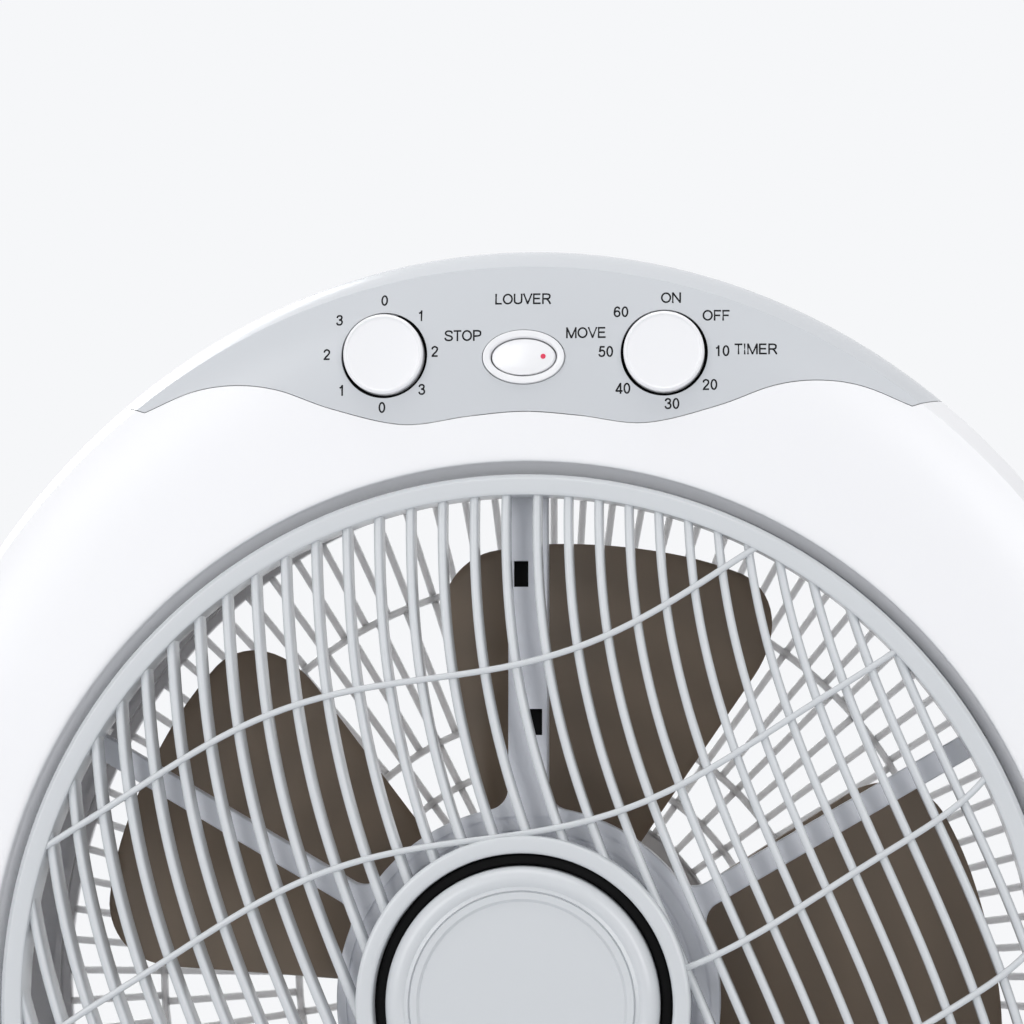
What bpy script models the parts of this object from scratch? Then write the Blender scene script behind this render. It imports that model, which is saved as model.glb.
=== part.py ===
"""Box fan with a turning louver wheel: housing, controls, louver drive, blades and motor.

Sizes are in metres. Every piece is drawn in a front frame whose origin is the point where the hub
axis meets the plane of the louver ring's front: x runs right, the second coordinate runs up, and
depth runs back into the fan. The frame's empty turns it upright, with the fan's front towards -Y.
"""

import math

import bmesh
import bpy
from mathutils import Matrix, Vector

# Housing: a band of these widths round the opening, standing on the floor
HUB_HEIGHT = 0.262
OPENING_RADIUS = 0.1947
SIDE_WIDTH = 0.0543
TOP_WIDTH = 0.0813
FLOOR_CLEARANCE = 0.012
UPPER_OUTLINE_POWER = 2.0
LOWER_OUTLINE_POWER = 2.5
WALL = 0.0025
LIP_DEPTH = 0.0042
LIP_BACK = 0.012
COLLAR_BACK = 0.046
FACE_ROUND_DEPTH = 0.035
FACE_FLATNESS = 8.0
FACE_BLEND_SHARES = (0.04, 0.50, 0.72, 0.85, 0.94, 0.985, 1.0)
PARTING_DEPTH = 0.060
BODY_BACK = 0.160
REAR_OPENING_STEP = 0.0093
REAR_LIP_LENGTH = 0.008
REAR_ROUNDING_SHARES = (
    (1.000, 0.25),
    (0.985, 0.52),
    (0.935, 0.73),
    (0.820, 0.87),
    (0.600, 0.955),
    (0.300, 0.995),
)
HALF_DEPTH = 0.100
FRONT_OVERHANG = 0.026

# Clearances
GAP = 0.0003
RUNNING_GAP = 0.0012
TURN_GAP = 0.0024

# Louver wheel
RING_MARGIN = 0.0047
RING_WIDTH = 0.0075
RING_LENGTH = 0.016
RING_EDGE = 0.0010
SLAT_FRONT = 0.003
SLAT_LENGTH = 0.011
SLAT_THICKNESS = 0.0029
SLAT_PITCH = 0.01156
SLAT_UNIT = 0.1
SLAT_BEND = (
    (0, 0, 0.000791),
    (0, 1, -0.013029),
    (0, 3, 0.007302),
    (1, 2, 0.000827),
    (2, 1, 0.000439),
    (3, 0, -0.000025),
    (2, 3, 0.000101),
    (1, 4, 0.000293),
    (0, 5, -0.000538),
    (3, 2, -0.001646),
)
RIB_FRONT = 0.0012
RIB_LENGTH = 0.0036
RIB_THICKNESS = 0.0023
RIB_PITCH = 0.0605
RIB_SWING = (
    (0.000, 0.0000),
    (0.025, -0.0040),
    (0.050, -0.0050),
    (0.085, 0.0006),
    (0.125, 0.0108),
    (0.160, 0.0215),
    (0.184, 0.0330),
)
RIB_STEPS = 4
LOUVER_TURN = math.radians(16.5)
HUB_RING_RADIUS = 0.0598
HUB_RING_WIDTH = 0.0063
HUB_RING_PROUD = 0.0055
HUB_FLOOR_FRONT = 0.0110
HUB_BOSS_RADIUS = 0.008
HUB_BOSS_LENGTH = 0.004
CAP_RADIUS = 0.0490
CAP_PROUD = 0.0080
CAP_ROUND = 0.0090
CAP_ROUND_DEPTH = 0.0063
CAP_ROUND_STEPS = 3
TRIM_RECESS = 0.0010

# Louver drive
LOUVER_SHAFT_RADIUS = 0.003
LOUVER_RETAINER_RADIUS = 0.006
LOUVER_MOTOR_RADIUS = 0.025
LOUVER_MOTOR_LENGTH = 0.0157

# Carrier
CARRIER_FRONT = 0.020
CARRIER_THICKNESS = 0.010
CARRIER_RIM_WIDTH = 0.0085
CARRIER_DISC_RADIUS = 0.070
CARRIER_DISC_WEB = 0.004
ARM_COUNT = 6
ARM_WIDTH = 0.0085
WIRE_ARM_WIDTH = 0.0145
WIRE_ARM = 1
ARM_FILLET = 0.008
FIRST_ARM_ANGLE = math.radians(30.0)
WINDOW_OUTER_STEPS = 8
WINDOW_INNER_STEPS = 5
FILLET_STEPS = 3
WIRE_CHANNEL_WIDTH = 0.0116
WIRE_CHANNEL_DEPTH = 0.007
WIRE_COVER_THICKNESS = 0.003
WIRE_HOLE_WIDTH = 0.0054
WIRE_HOLE_HEIGHT = 0.0096
WIRE_HOLE_CENTRES = ((-0.0025, 0.1549), (0.0026, 0.1006))
LUG_LENGTH = 0.010
LUG_WIDTH = 0.012
CARRIER_SCREW_ARMS = (0, 2, 4)

# Blades
BLADE_COUNT = 5
BLADE_ROOT_RADIUS = 0.0445
BLADE_TIP_MARGIN = 0.0240
BLADE_HALF_ANGLE = math.radians(24.5)
BLADE_FIRST_ANGLE = math.radians(79.9)
BLADE_TIP_SKEW = 0.0170
BLADE_THICKNESS = 0.0018
BLADE_MIDDLE = 0.0690
BLADE_PITCH_RISE = 0.0145
BLADE_CAMBER = 0.0050
BLADE_CORNER = 0.0296
BLADE_TIP_NARROWING = 0.34
BLADE_ROWS = (0.0, 0.25, 0.5, 0.79, 0.90, 0.965, 1.0)
BLADE_COLUMNS = 5
HUB_CUP_FRONT = 0.0500
HUB_CUP_RADIUS = 0.0460
HUB_CUP_LENGTH = 0.0360
HUB_CUP_WALL = 0.0030
SHAFT_RADIUS = 0.004
NUT_RADIUS = 0.011
NUT_LENGTH = 0.0075

# Motor
MOTOR_RADIUS = 0.044
MOTOR_WALL = 0.0025
REAR_HOUSING_LENGTH = 0.024
STATOR_LENGTH = 0.016
FRONT_HOUSING_LENGTH = 0.024
ROTOR_CORE_RADIUS = 0.025
AIR_GAP = 0.0006
COIL_INNER_RADIUS = 0.028
COIL_OUTER_RADIUS = 0.040
COIL_LENGTH = 0.009
BEARING_RADIUS = 0.008
BEARING_LENGTH = 0.007
MOTOR_SCREW_CIRCLE = 0.030
MOTOR_SCREW_COUNT = 4
MOTOR_SCREW_ANGLE = math.radians(45.0)

# Rear grille
GRILLE_FRONT = 0.1535
GRILLE_THICKNESS = 0.004
GRILLE_RIM_WIDTH = 0.004
GRILLE_RINGS = (0.161, 0.105)
GRILLE_BARS = (100, 80, 40)
GRILLE_BAR_WIDTH = 0.0030
GRILLE_RING_WIDTH = 0.0026
GRILLE_PLATE_RADIUS = 0.070

# Controls
PANEL_WAVE_ABOVE_OPENING = (
    (0.000, 0.0181),
    (0.020, 0.0165),
    (0.044, 0.0136),
    (0.070, 0.0195),
    (0.090, 0.0266),
    (0.106, 0.0286),
    (0.122, 0.0265),
    (0.140, 0.0191),
)
PANEL_END_RISE = 0.0360
WAVE_STEPS = 2
KNOB_X = 0.0510
KNOB_ABOVE_OPENING = 0.0390
KNOB_RADIUS = 0.0146
KNOB_RING_GAP = 0.0012
KNOB_PROUD = 0.0040
KNOB_LENGTH = 0.0080
KNOB_EDGE = 0.0008
SPINDLE_RADIUS = 0.003
SWITCH_HALF_WIDTH = 0.018
SWITCH_HALF_HEIGHT = 0.0155
SWITCH_LENGTH = 0.022
ROCKER_ABOVE_OPENING = 0.0378
ROCKER_HALF_WIDTH = 0.0115
ROCKER_HALF_HEIGHT = 0.0064
ROCKER_THICKNESS = 0.0042
ROCKER_PIVOT = 0.0014
ROCKER_TILT = math.radians(5.0)
BEZEL_GAP = 0.0006
BEZEL_WIDTH = 0.0028
BEZEL_PROUD = 0.0012
BEZEL_BACK = 0.0060
ROCKER_SWITCH_HALF_WIDTH = 0.0130
ROCKER_SWITCH_HALF_HEIGHT = 0.0088
ROCKER_SWITCH_LENGTH = 0.016
CAPACITOR_WIDTH = 0.036
CAPACITOR_HEIGHT = 0.019
CAPACITOR_LENGTH = 0.026
CAPACITOR_FRONT = 0.010

# Grip, gland and feet
GRIP_HALF_WIDTH = 0.054
GRIP_ABOVE_OPENING = 0.0065
GRIP_HEIGHT = 0.027
GRIP_FLOOR = 0.138
GRIP_WALL = 0.002
GRIP_RIM_PROUD = 0.0010
GLAND_RADIUS = 0.0067
GLAND_BORE = 0.0035
GLAND_FLANGE_RADIUS = 0.0090
GLAND_LENGTH = 0.010
GLAND_FLANGE_LENGTH = 0.002
FOOT_X = 0.110
FOOT_WIDTH = 0.060
FOOT_SADDLE_HEIGHT = 0.034
FOOT_TOE_HEIGHT = 0.010
FOOT_SLOPE_HEIGHT = 0.017
FOOT_SLOPE_LENGTH = 0.014
FOOT_SADDLE_LENGTH = 0.036
PAD_HEIGHT = 0.003
PAD_RADIUS = 0.011
PAD_MARGIN = 0.018

# Screws
SHELL_SCREW_ANGLES = (35.0, 145.0, 219.0, 321.0)
WELL_RADIUS = 0.0065
WELL_BORE = 0.0045
WELL_FLOOR = 0.0027
POST_RADIUS = 0.0042
SCREW_RADIUS = 0.0015
SCREW_HEAD_RADIUS = 0.0034
SCREW_HEAD_LENGTH = 0.0020
SHELL_SCREW_BITE = 0.012

# Mesh fineness
SHELL_STEPS = 48
RING_STEPS = 60
HUB_STEPS = 32
CORE_STEPS = 24
SMALL_STEPS = 16
SCREW_STEPS = 8
CURVE_TOLERANCE = 0.0010
CURVE_SAMPLE = 0.0006
MERGE = 0.00001
REACH = 0.05

BODY_HALF_WIDTH = OPENING_RADIUS + SIDE_WIDTH
BODY_RISE = OPENING_RADIUS + TOP_WIDTH
BODY_DROP = HUB_HEIGHT - FLOOR_CLEARANCE
REAR_OPENING_RADIUS = OPENING_RADIUS + REAR_OPENING_STEP
RING_RADIUS = OPENING_RADIUS - RING_MARGIN
BLADE_TIP_RADIUS = OPENING_RADIUS - BLADE_TIP_MARGIN
PANEL_WAVE = [(x, OPENING_RADIUS + rise) for x, rise in PANEL_WAVE_ABOVE_OPENING]
KNOB_UP = OPENING_RADIUS + KNOB_ABOVE_OPENING
ROCKER_UP = OPENING_RADIUS + ROCKER_ABOVE_OPENING
GRIP_LOW = REAR_OPENING_RADIUS + GRIP_ABOVE_OPENING
GLAND_DROP = (REAR_OPENING_RADIUS + BODY_DROP) / 2
FOOT_SLOPE_Y = HALF_DEPTH - FOOT_SLOPE_LENGTH
FOOT_SADDLE_Y = HALF_DEPTH - FOOT_SADDLE_LENGTH
PAD_Y = HALF_DEPTH - PAD_MARGIN
FRONT_PLANE_Y = FRONT_OVERHANG - HALF_DEPTH
CARRIER_BACK = CARRIER_FRONT + CARRIER_THICKNESS
RIM_MIDDLE = OPENING_RADIUS - GAP - CARRIER_RIM_WIDTH / 2
REAR_SHELL_FRONT = PARTING_DEPTH + GAP
MOTOR_BACK = GRILLE_FRONT - GAP
REAR_HOUSING_FRONT = MOTOR_BACK - REAR_HOUSING_LENGTH
STATOR_BACK = REAR_HOUSING_FRONT - GAP
STATOR_FRONT = STATOR_BACK - STATOR_LENGTH
FRONT_HOUSING_BACK = STATOR_FRONT - GAP
FRONT_HOUSING_FRONT = FRONT_HOUSING_BACK - FRONT_HOUSING_LENGTH
BEARING_SEAT = BEARING_RADIUS + GAP
NUT_BACK = HUB_CUP_FRONT - GAP
NUT_FRONT = NUT_BACK - NUT_LENGTH
GLAND_FRONT = BODY_BACK - GLAND_LENGTH
GLAND_BACK = BODY_BACK + GAP + GLAND_FLANGE_LENGTH


def make_material(name, rgb, roughness, metallic=0.0):
    material = bpy.data.materials.new(name)
    material.use_nodes = True
    shader = material.node_tree.nodes["Principled BSDF"]
    shader.inputs["Base Color"].default_value = (*rgb, 1.0)
    shader.inputs["Roughness"].default_value = roughness
    shader.inputs["Metallic"].default_value = metallic
    return material


def new_collection(name):
    collection = bpy.data.collections.new(name)
    bpy.context.scene.collection.children.link(collection)
    return collection


for leftover in list(bpy.data.objects):
    bpy.data.objects.remove(leftover, do_unlink=True)

PARTS = new_collection("electric_fan")
CUTTERS = new_collection("cutters")

WHITE = make_material("white_abs", (0.86, 0.86, 0.87), 0.3)
PANEL_GREY = make_material("panel_grey_abs", (0.60, 0.63, 0.66), 0.35)
LOUVER_GREY = make_material("louver_grey_abs", (0.58, 0.60, 0.62), 0.35)
CARRIER_GREY = make_material("carrier_grey_pp", (0.52, 0.54, 0.60), 0.4)
SMOKE = make_material("smoked_blade_pp", (0.10, 0.075, 0.06), 0.3)
BLACK = make_material("black_abs", (0.01, 0.01, 0.01), 0.4)
RUBBER = make_material("black_rubber", (0.02, 0.02, 0.02), 0.8)
STEEL = make_material("zinc_steel", (0.6, 0.6, 0.6), 0.35, 1.0)
CORE_STEEL = make_material("lamination_steel", (0.35, 0.36, 0.38), 0.5, 1.0)
ALUMINIUM = make_material("cast_aluminium", (0.62, 0.63, 0.64), 0.45, 1.0)
COPPER = make_material("enamelled_copper", (0.55, 0.20, 0.08), 0.4, 1.0)
BRONZE = make_material("sintered_bronze", (0.50, 0.33, 0.16), 0.5, 1.0)

FAN_AXIS = bpy.data.objects.new("fan_axis", None)
FAN_AXIS.location = (0.0, FRONT_PLANE_Y, HUB_HEIGHT)
FAN_AXIS.rotation_euler = (math.pi / 2, 0.0, 0.0)
PARTS.objects.link(FAN_AXIS)


def add_object(name, mesh, material, centre=(0.0, 0.0)):
    """Hang a mesh on the fan's front frame, with its origin at centre."""
    obj = bpy.data.objects.new(name, mesh)
    if material is None:
        CUTTERS.objects.link(obj)
        obj.hide_render = True
        obj.display_type = "WIRE"
    else:
        PARTS.objects.link(obj)
        mesh.materials.append(material)
    obj.parent = FAN_AXIS
    obj.location = (centre[0], centre[1], 0.0)
    return obj


def boolean(target, tool, operation):
    modifier = target.modifiers.new(tool.name, "BOOLEAN")
    modifier.operation = operation
    modifier.object = tool
    return modifier


def cut(target, *tools):
    for tool in tools:
        boolean(target, tool, "DIFFERENCE")


def join(target, *tools):
    for tool in tools:
        boolean(target, tool, "UNION")


def turned(name, profile, material, centre=(0.0, 0.0), steps=SMALL_STEPS, ring=False):
    """Turn a profile of (radius, depth) points; a ring's profile closes on itself."""
    mesh = bpy.data.meshes.new(name)
    points = [(radius, 0.0, -depth) for radius, depth in profile]
    edges = [(i, i + 1) for i in range(len(points) - 1)]
    if ring:
        edges.append((len(points) - 1, 0))
    mesh.from_pydata(points, edges, [])
    obj = add_object(name, mesh, material, centre)
    screw = obj.modifiers.new("Turn", "SCREW")
    screw.axis = "Z"
    screw.angle = math.tau
    screw.steps = steps
    screw.render_steps = steps
    screw.use_merge_vertices = True
    screw.merge_threshold = MERGE
    return obj


def disc_profile(radius, front, back):
    return [(0.0, front), (radius, front), (radius, back), (0.0, back)]


def ring_profile(inner, outer, front, back):
    return [(inner, front), (outer, front), (outer, back), (inner, back)]


def rod(name, radius, front, back, material, centre=(0.0, 0.0), steps=SMALL_STEPS):
    return turned(name, disc_profile(radius, front, back), material, centre, steps)


def mesh_from(name, bm):
    mesh = bpy.data.meshes.new(name)
    bm.to_mesh(mesh)
    bm.free()
    return mesh


def block(name, low, high, material):
    """A box between two (x, up, depth) corners."""
    bm = bmesh.new()
    bmesh.ops.create_cube(bm, size=1.0)
    size = [h - l for l, h in zip(low, high)]
    middle = [(h + l) / 2 for l, h in zip(low, high)]
    place = Matrix.Translation((middle[0], middle[1], -middle[2]))
    bmesh.ops.transform(bm, matrix=place @ Matrix.Diagonal((*size, 1.0)), verts=bm.verts)
    return add_object(name, mesh_from(name, bm), material)


def rods(name, centres, radius, front, back, steps=SCREW_STEPS):
    """A set of equal cylinders along the depth, used to cut or join in one go."""
    bm = bmesh.new()
    for x, up in centres:
        bmesh.ops.create_cone(
            bm,
            cap_ends=True,
            segments=steps,
            radius1=radius,
            radius2=radius,
            depth=back - front,
            matrix=Matrix.Translation((x, up, -(front + back) / 2)),
        )
    return add_object(name, mesh_from(name, bm), None)


def flat(name, outlines, front, back, material, centre=(0.0, 0.0)):
    """A plate cut to closed outlines of (x, up) points, made a welded mesh."""
    curve = bpy.data.curves.new(name, "CURVE")
    curve.dimensions = "2D"
    curve.fill_mode = "BOTH"
    curve.extrude = (back - front) / 2
    for outline in outlines:
        spline = curve.splines.new("POLY")
        spline.points.add(len(outline) - 1)
        for point, (x, up) in zip(spline.points, outline):
            point.co = (x, up, 0.0, 1.0)
        spline.use_cyclic_u = True
    drawn = bpy.data.objects.new(name + "_outline", curve)
    PARTS.objects.link(drawn)
    bpy.context.view_layer.update()
    evaluated = drawn.evaluated_get(bpy.context.evaluated_depsgraph_get())
    mesh = bpy.data.meshes.new_from_object(evaluated)
    bpy.data.objects.remove(drawn, do_unlink=True)
    bm = bmesh.new()
    bm.from_mesh(mesh)
    bmesh.ops.remove_doubles(bm, verts=bm.verts, dist=MERGE)
    bmesh.ops.recalc_face_normals(bm, faces=bm.faces)
    bmesh.ops.translate(bm, verts=bm.verts, vec=(0.0, 0.0, -(front + back) / 2))
    bm.to_mesh(mesh)
    bm.free()
    mesh.materials.clear()
    return add_object(name, mesh, material, centre)


def ellipse(half_width, half_height, steps=HUB_STEPS):
    angles = [math.tau * k / steps for k in range(steps)]
    return [(half_width * math.cos(a), half_height * math.sin(a)) for a in angles]


def polar(radius, angle):
    return (radius * math.cos(angle), radius * math.sin(angle))


def arc(radius, start, end, steps):
    return [polar(radius, start + (end - start) * k / steps) for k in range(steps + 1)]


def smooth_through(points, steps):
    """Points on a Catmull-Rom curve through the given ones."""
    first = [2 * a - b for a, b in zip(points[0], points[1])]
    last = [2 * a - b for a, b in zip(points[-1], points[-2])]
    knots = [Vector(p) for p in (first, *points, last)]
    path = []
    for a, b, c, d in zip(knots, knots[1:], knots[2:], knots[3:]):
        for k in range(steps):
            t = k / steps
            bend = 2 * b + (c - a) * t + (2 * a - 5 * b + 4 * c - d) * t**2
            path.append(tuple((bend + (3 * b - a - 3 * c + d) * t**3) / 2))
    path.append(tuple(points[-1]))
    return path


def outline_radius(angle):
    """The housing's egg outline: an ellipse above the hub, squarer below it."""
    across = abs(math.cos(angle)) / BODY_HALF_WIDTH
    if math.sin(angle) >= 0.0:
        power, along = UPPER_OUTLINE_POWER, math.sin(angle) / BODY_RISE
    else:
        power, along = LOWER_OUTLINE_POWER, -math.sin(angle) / BODY_DROP
    return (across**power + along**power) ** (-1.0 / power)


def face_rise(blend):
    """Depth of the housing's front face, from flat by the opening to its rounded edge."""
    return FACE_ROUND_DEPTH * (1.0 - math.sqrt(1.0 - min(blend, 1.0) ** FACE_FLATNESS))


def face_depth(x, up):
    """Depth of the lofted face behind a point, read between its rows."""
    outer = outline_radius(math.atan2(up, x))
    blend = (math.hypot(x, up) - OPENING_RADIUS) / (outer - OPENING_RADIUS)
    for near, far in zip(FACE_BLEND_SHARES, FACE_BLEND_SHARES[1:]):
        if blend <= far:
            share = (blend - near) / (far - near)
            return face_rise(near) + share * (face_rise(far) - face_rise(near))
    return FACE_ROUND_DEPTH


def loft(base_radius, sections, closed_ends=False):
    """Rings of (blend, depth) from a round opening to the egg outline, joined by faces."""
    bm = bmesh.new()
    rings = []
    for blend, depth in sections:
        ring = []
        for k in range(SHELL_STEPS):
            angle = math.tau * k / SHELL_STEPS
            radius = base_radius + blend * (outline_radius(angle) - base_radius)
            ring.append(bm.verts.new((*polar(radius, angle), -depth)))
        rings.append(ring)
    for near, far in zip(rings, rings[1:]):
        for k in range(SHELL_STEPS):
            n = (k + 1) % SHELL_STEPS
            bm.faces.new((near[k], far[k], far[n], near[n]))
    if closed_ends:
        for ring in (rings[0], rings[-1]):
            bm.faces.new(ring)
        bmesh.ops.recalc_face_normals(bm, faces=bm.faces)
    return bm


def shell(name, base_radius, sections, material):
    """The lofted rings, given the wall's thickness inwards."""
    obj = add_object(name, mesh_from(name, loft(base_radius, sections)), material)
    solidify = obj.modifiers.new("Wall", "SOLIDIFY")
    solidify.thickness = WALL
    solidify.offset = -1.0
    solidify.use_even_offset = True
    return obj


def screw(name, centre, tip, head, material, head_first=False):
    """A pan-head screw along the depth, its tip and its head's far face at the given depths."""
    if head_first:
        neck = head + SCREW_HEAD_LENGTH
        profile = [(0.0, head), (SCREW_HEAD_RADIUS, head), (SCREW_HEAD_RADIUS, neck)]
        profile += [(SCREW_RADIUS, neck), (SCREW_RADIUS, tip), (0.0, tip)]
    else:
        neck = head - SCREW_HEAD_LENGTH
        profile = [(0.0, tip), (SCREW_RADIUS, tip), (SCREW_RADIUS, neck)]
        profile += [(SCREW_HEAD_RADIUS, neck), (SCREW_HEAD_RADIUS, head), (0.0, head)]
    return turned(name, profile, material, centre, SCREW_STEPS)


def mirrored(points):
    """The points with their mirror images in x, as one run from left to right."""
    left = [(-x, up) for x, up in reversed(points[1:])]
    return left + list(points)


def panel_outline(drop):
    """Outline that parts the control panel from the shell, lowered by drop."""
    wave = [(x, up - drop) for x, up in smooth_through(mirrored(PANEL_WAVE), WAVE_STEPS)]
    end_x, end_up = BODY_HALF_WIDTH, PANEL_WAVE[-1][1] + PANEL_END_RISE - drop
    top = BODY_RISE + REACH
    return wave + [(end_x, end_up), (end_x, top), (-end_x, top), (-end_x, end_up)]


def well_centre(angle_degrees):
    angle = math.radians(angle_degrees)
    return polar((REAR_OPENING_RADIUS + outline_radius(angle)) / 2, angle)


WELL_CENTRES = [well_centre(angle) for angle in SHELL_SCREW_ANGLES]
LUG_CENTRES = [
    polar(RIM_MIDDLE, FIRST_ARM_ANGLE + math.tau * arm / ARM_COUNT)
    for arm in CARRIER_SCREW_ARMS
]


def front_sections():
    lip = [(0.0, LIP_BACK), (0.0, LIP_DEPTH)]
    edge = [(FACE_BLEND_SHARES[0], LIP_DEPTH / 4)]
    face = [(blend, face_rise(blend)) for blend in FACE_BLEND_SHARES[1:]]
    return lip + edge + face + [(1.0, PARTING_DEPTH)]


def build_front_shell():
    obj = shell("front_shell", OPENING_RADIUS, front_sections(), WHITE)
    window = flat("panel_window", [panel_outline(GAP)], -REACH, PARTING_DEPTH + REACH, None)
    cut(obj, window)
    posts = rods("posts", WELL_CENTRES, POST_RADIUS, WALL / 2, REAR_SHELL_FRONT - GAP)
    post_bores = rods(
        "post_bores",
        WELL_CENTRES,
        SCREW_RADIUS + GAP,
        REAR_SHELL_FRONT - SHELL_SCREW_BITE - GAP,
        PARTING_DEPTH + REACH,
    )
    join(obj, posts)
    cut(obj, post_bores)
    return obj


def build_duct_ring():
    """The air duct behind the front shell's lip, with lugs for the carrier."""
    wall = ring_profile(OPENING_RADIUS, OPENING_RADIUS + WALL, LIP_BACK + GAP, COLLAR_BACK)
    obj = turned("duct_ring", wall, WHITE, steps=SHELL_STEPS, ring=True)
    join(obj, build_lugs())
    lug_bores = rods(
        "lug_bores", LUG_CENTRES, SCREW_RADIUS + GAP, CARRIER_BACK, COLLAR_BACK + REACH
    )
    cut(obj, lug_bores)


def build_lugs():
    """Blocks inside the duct ring that the carrier's rim is screwed to."""
    bm = bmesh.new()
    inner = OPENING_RADIUS - GAP - CARRIER_RIM_WIDTH
    outer = OPENING_RADIUS + WALL / 2
    size = (outer - inner, LUG_WIDTH, LUG_LENGTH)
    for x, up in LUG_CENTRES:
        angle = math.atan2(up, x)
        middle = (*polar((inner + outer) / 2, angle), -(CARRIER_BACK + GAP + LUG_LENGTH / 2))
        turn = Matrix.Rotation(angle, 4, "Z")
        place = Matrix.Translation(middle) @ turn @ Matrix.Diagonal((*size, 1.0))
        bmesh.ops.create_cube(bm, size=1.0, matrix=place)
    return add_object("lugs", mesh_from("lugs", bm), None)


def build_control_panel():
    obj = shell("control_panel", OPENING_RADIUS, front_sections()[2:], PANEL_GREY)
    keep = flat("panel_keep", [panel_outline(0.0)], -REACH, PARTING_DEPTH + REACH, None)
    boolean(obj, keep, "INTERSECT")
    knob_holes = rods(
        "knob_holes",
        [(-KNOB_X, KNOB_UP), (KNOB_X, KNOB_UP)],
        KNOB_RADIUS + KNOB_RING_GAP,
        -REACH,
        REACH,
        HUB_STEPS,
    )
    bezel_hole = flat(
        "bezel_hole",
        [ellipse(*bezel_radii(GAP))],
        -REACH,
        REACH,
        None,
        (0.0, ROCKER_UP),
    )
    cut(obj, knob_holes, bezel_hole)
    return obj


def rear_sections():
    span = BODY_BACK - PARTING_DEPTH
    side = [(blend, PARTING_DEPTH + span * share) for blend, share in REAR_ROUNDING_SHARES]
    lip = [(0.0, BODY_BACK), (0.0, BODY_BACK - REAR_LIP_LENGTH)]
    return [(1.0, REAR_SHELL_FRONT)] + side + lip


def build_wells():
    """Tubes round the shell screws, each run out in the middle of the rear wall."""
    wells = rods("wells", WELL_CENTRES, WELL_RADIUS, REAR_SHELL_FRONT, BODY_BACK + REACH)
    middle = [(blend, depth - WALL / 2) for blend, depth in rear_sections()[1:-1]]
    inside = loft(REAR_OPENING_RADIUS, [(1.0, PARTING_DEPTH - REACH)] + middle, closed_ends=True)
    boolean(wells, add_object("well_ends", mesh_from("well_ends", inside), None), "INTERSECT")
    return wells


def build_rear_shell():
    obj = shell("rear_shell", REAR_OPENING_RADIUS, rear_sections(), WHITE)
    floor_back = REAR_SHELL_FRONT + WELL_FLOOR
    join(obj, build_wells())
    well_bores = rods("well_bores", WELL_CENTRES, WELL_BORE, floor_back, BODY_BACK + REACH)
    screw_holes = rods(
        "screw_holes", WELL_CENTRES, SCREW_RADIUS + GAP, PARTING_DEPTH - REACH, BODY_BACK
    )
    grip_slot = block(
        "grip_slot",
        (-GRIP_HALF_WIDTH - GAP, GRIP_LOW - GAP, GRIP_FLOOR - GAP),
        (GRIP_HALF_WIDTH + GAP, GRIP_LOW + GRIP_HEIGHT + GAP, BODY_BACK + REACH),
        None,
    )
    gland_hole = rods(
        "gland_hole",
        [(0.0, -GLAND_DROP)],
        GLAND_RADIUS + GAP,
        GLAND_FRONT,
        BODY_BACK + REACH,
        SMALL_STEPS,
    )
    cut(obj, well_bores, screw_holes, grip_slot, gland_hole)
    return obj


def grille_cell(inner, outer, count, index):
    """One opening between two bars, its sides parallel to the bars."""
    middle = math.tau * (index + 0.5) / count
    half = math.pi / count
    bar = GRILLE_BAR_WIDTH / 2
    corners = []
    for radius, side in ((inner, -1), (outer, -1), (outer, 1), (inner, 1)):
        swing = half - math.asin(bar / radius)
        corners.append(polar(radius, middle + side * swing))
    return corners


def build_rear_grille():
    rim = REAR_OPENING_RADIUS - GAP
    outlines = [arc(rim, 0.0, math.tau * (1 - 1 / SHELL_STEPS), SHELL_STEPS - 1)]
    half_ring = GRILLE_RING_WIDTH / 2
    edges = (rim - GRILLE_RIM_WIDTH + half_ring, *GRILLE_RINGS, GRILLE_PLATE_RADIUS - half_ring)
    for outer, inner, count in zip(edges, edges[1:], GRILLE_BARS):
        for index in range(count):
            outlines.append(grille_cell(inner + half_ring, outer - half_ring, count, index))
    hole = SCREW_RADIUS + GAP
    for centre in motor_screw_centres():
        outlines.append([(centre[0] + x, centre[1] + y) for x, y in ellipse(hole, hole, SCREW_STEPS)])
    back = GRILLE_FRONT + GRILLE_THICKNESS
    return flat("rear_grille", outlines, GRILLE_FRONT, back, WHITE)


def motor_screw_centres():
    step = math.tau / MOTOR_SCREW_COUNT
    angles = [MOTOR_SCREW_ANGLE + step * k for k in range(MOTOR_SCREW_COUNT)]
    return [polar(MOTOR_SCREW_CIRCLE, angle) for angle in angles]


def louver_point(u, v):
    """Turn a point of the louver's own grid by the angle at which the wheel stands."""
    point = Matrix.Rotation(LOUVER_TURN, 2) @ Vector((u, v))
    return (point.x, point.y)


def slat_u(index, v):
    """Place across the slats, bent by terms in a slat's own place and in the way along it."""
    place, along = index * SLAT_PITCH / SLAT_UNIT, v / SLAT_UNIT
    return index * SLAT_PITCH + sum(c * place**i * along**j for i, j, c in SLAT_BEND)


def rib_swing(u):
    """Sideways swing of a rib, the same either side of its middle but opposite in sign."""
    size = abs(u)
    curve = smooth_through(RIB_SWING, RIB_STEPS)
    for (u0, w0), (u1, w1) in zip(curve, curve[1:]):
        if size <= u1:
            swing = w0 + (w1 - w0) * (size - u0) / (u1 - u0)
            return math.copysign(swing, u) if u else 0.0
    return math.copysign(curve[-1][1], u)


def clip_runs(points, low, high):
    """Split a fine path into its runs that lie between two radii."""
    runs, run = [], []
    for point in points:
        if low <= math.hypot(*point) <= high:
            run.append(point)
        elif run:
            runs.append(run)
            run = []
    if run:
        runs.append(run)
    return [r for r in runs if len(r) > 2]


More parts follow.
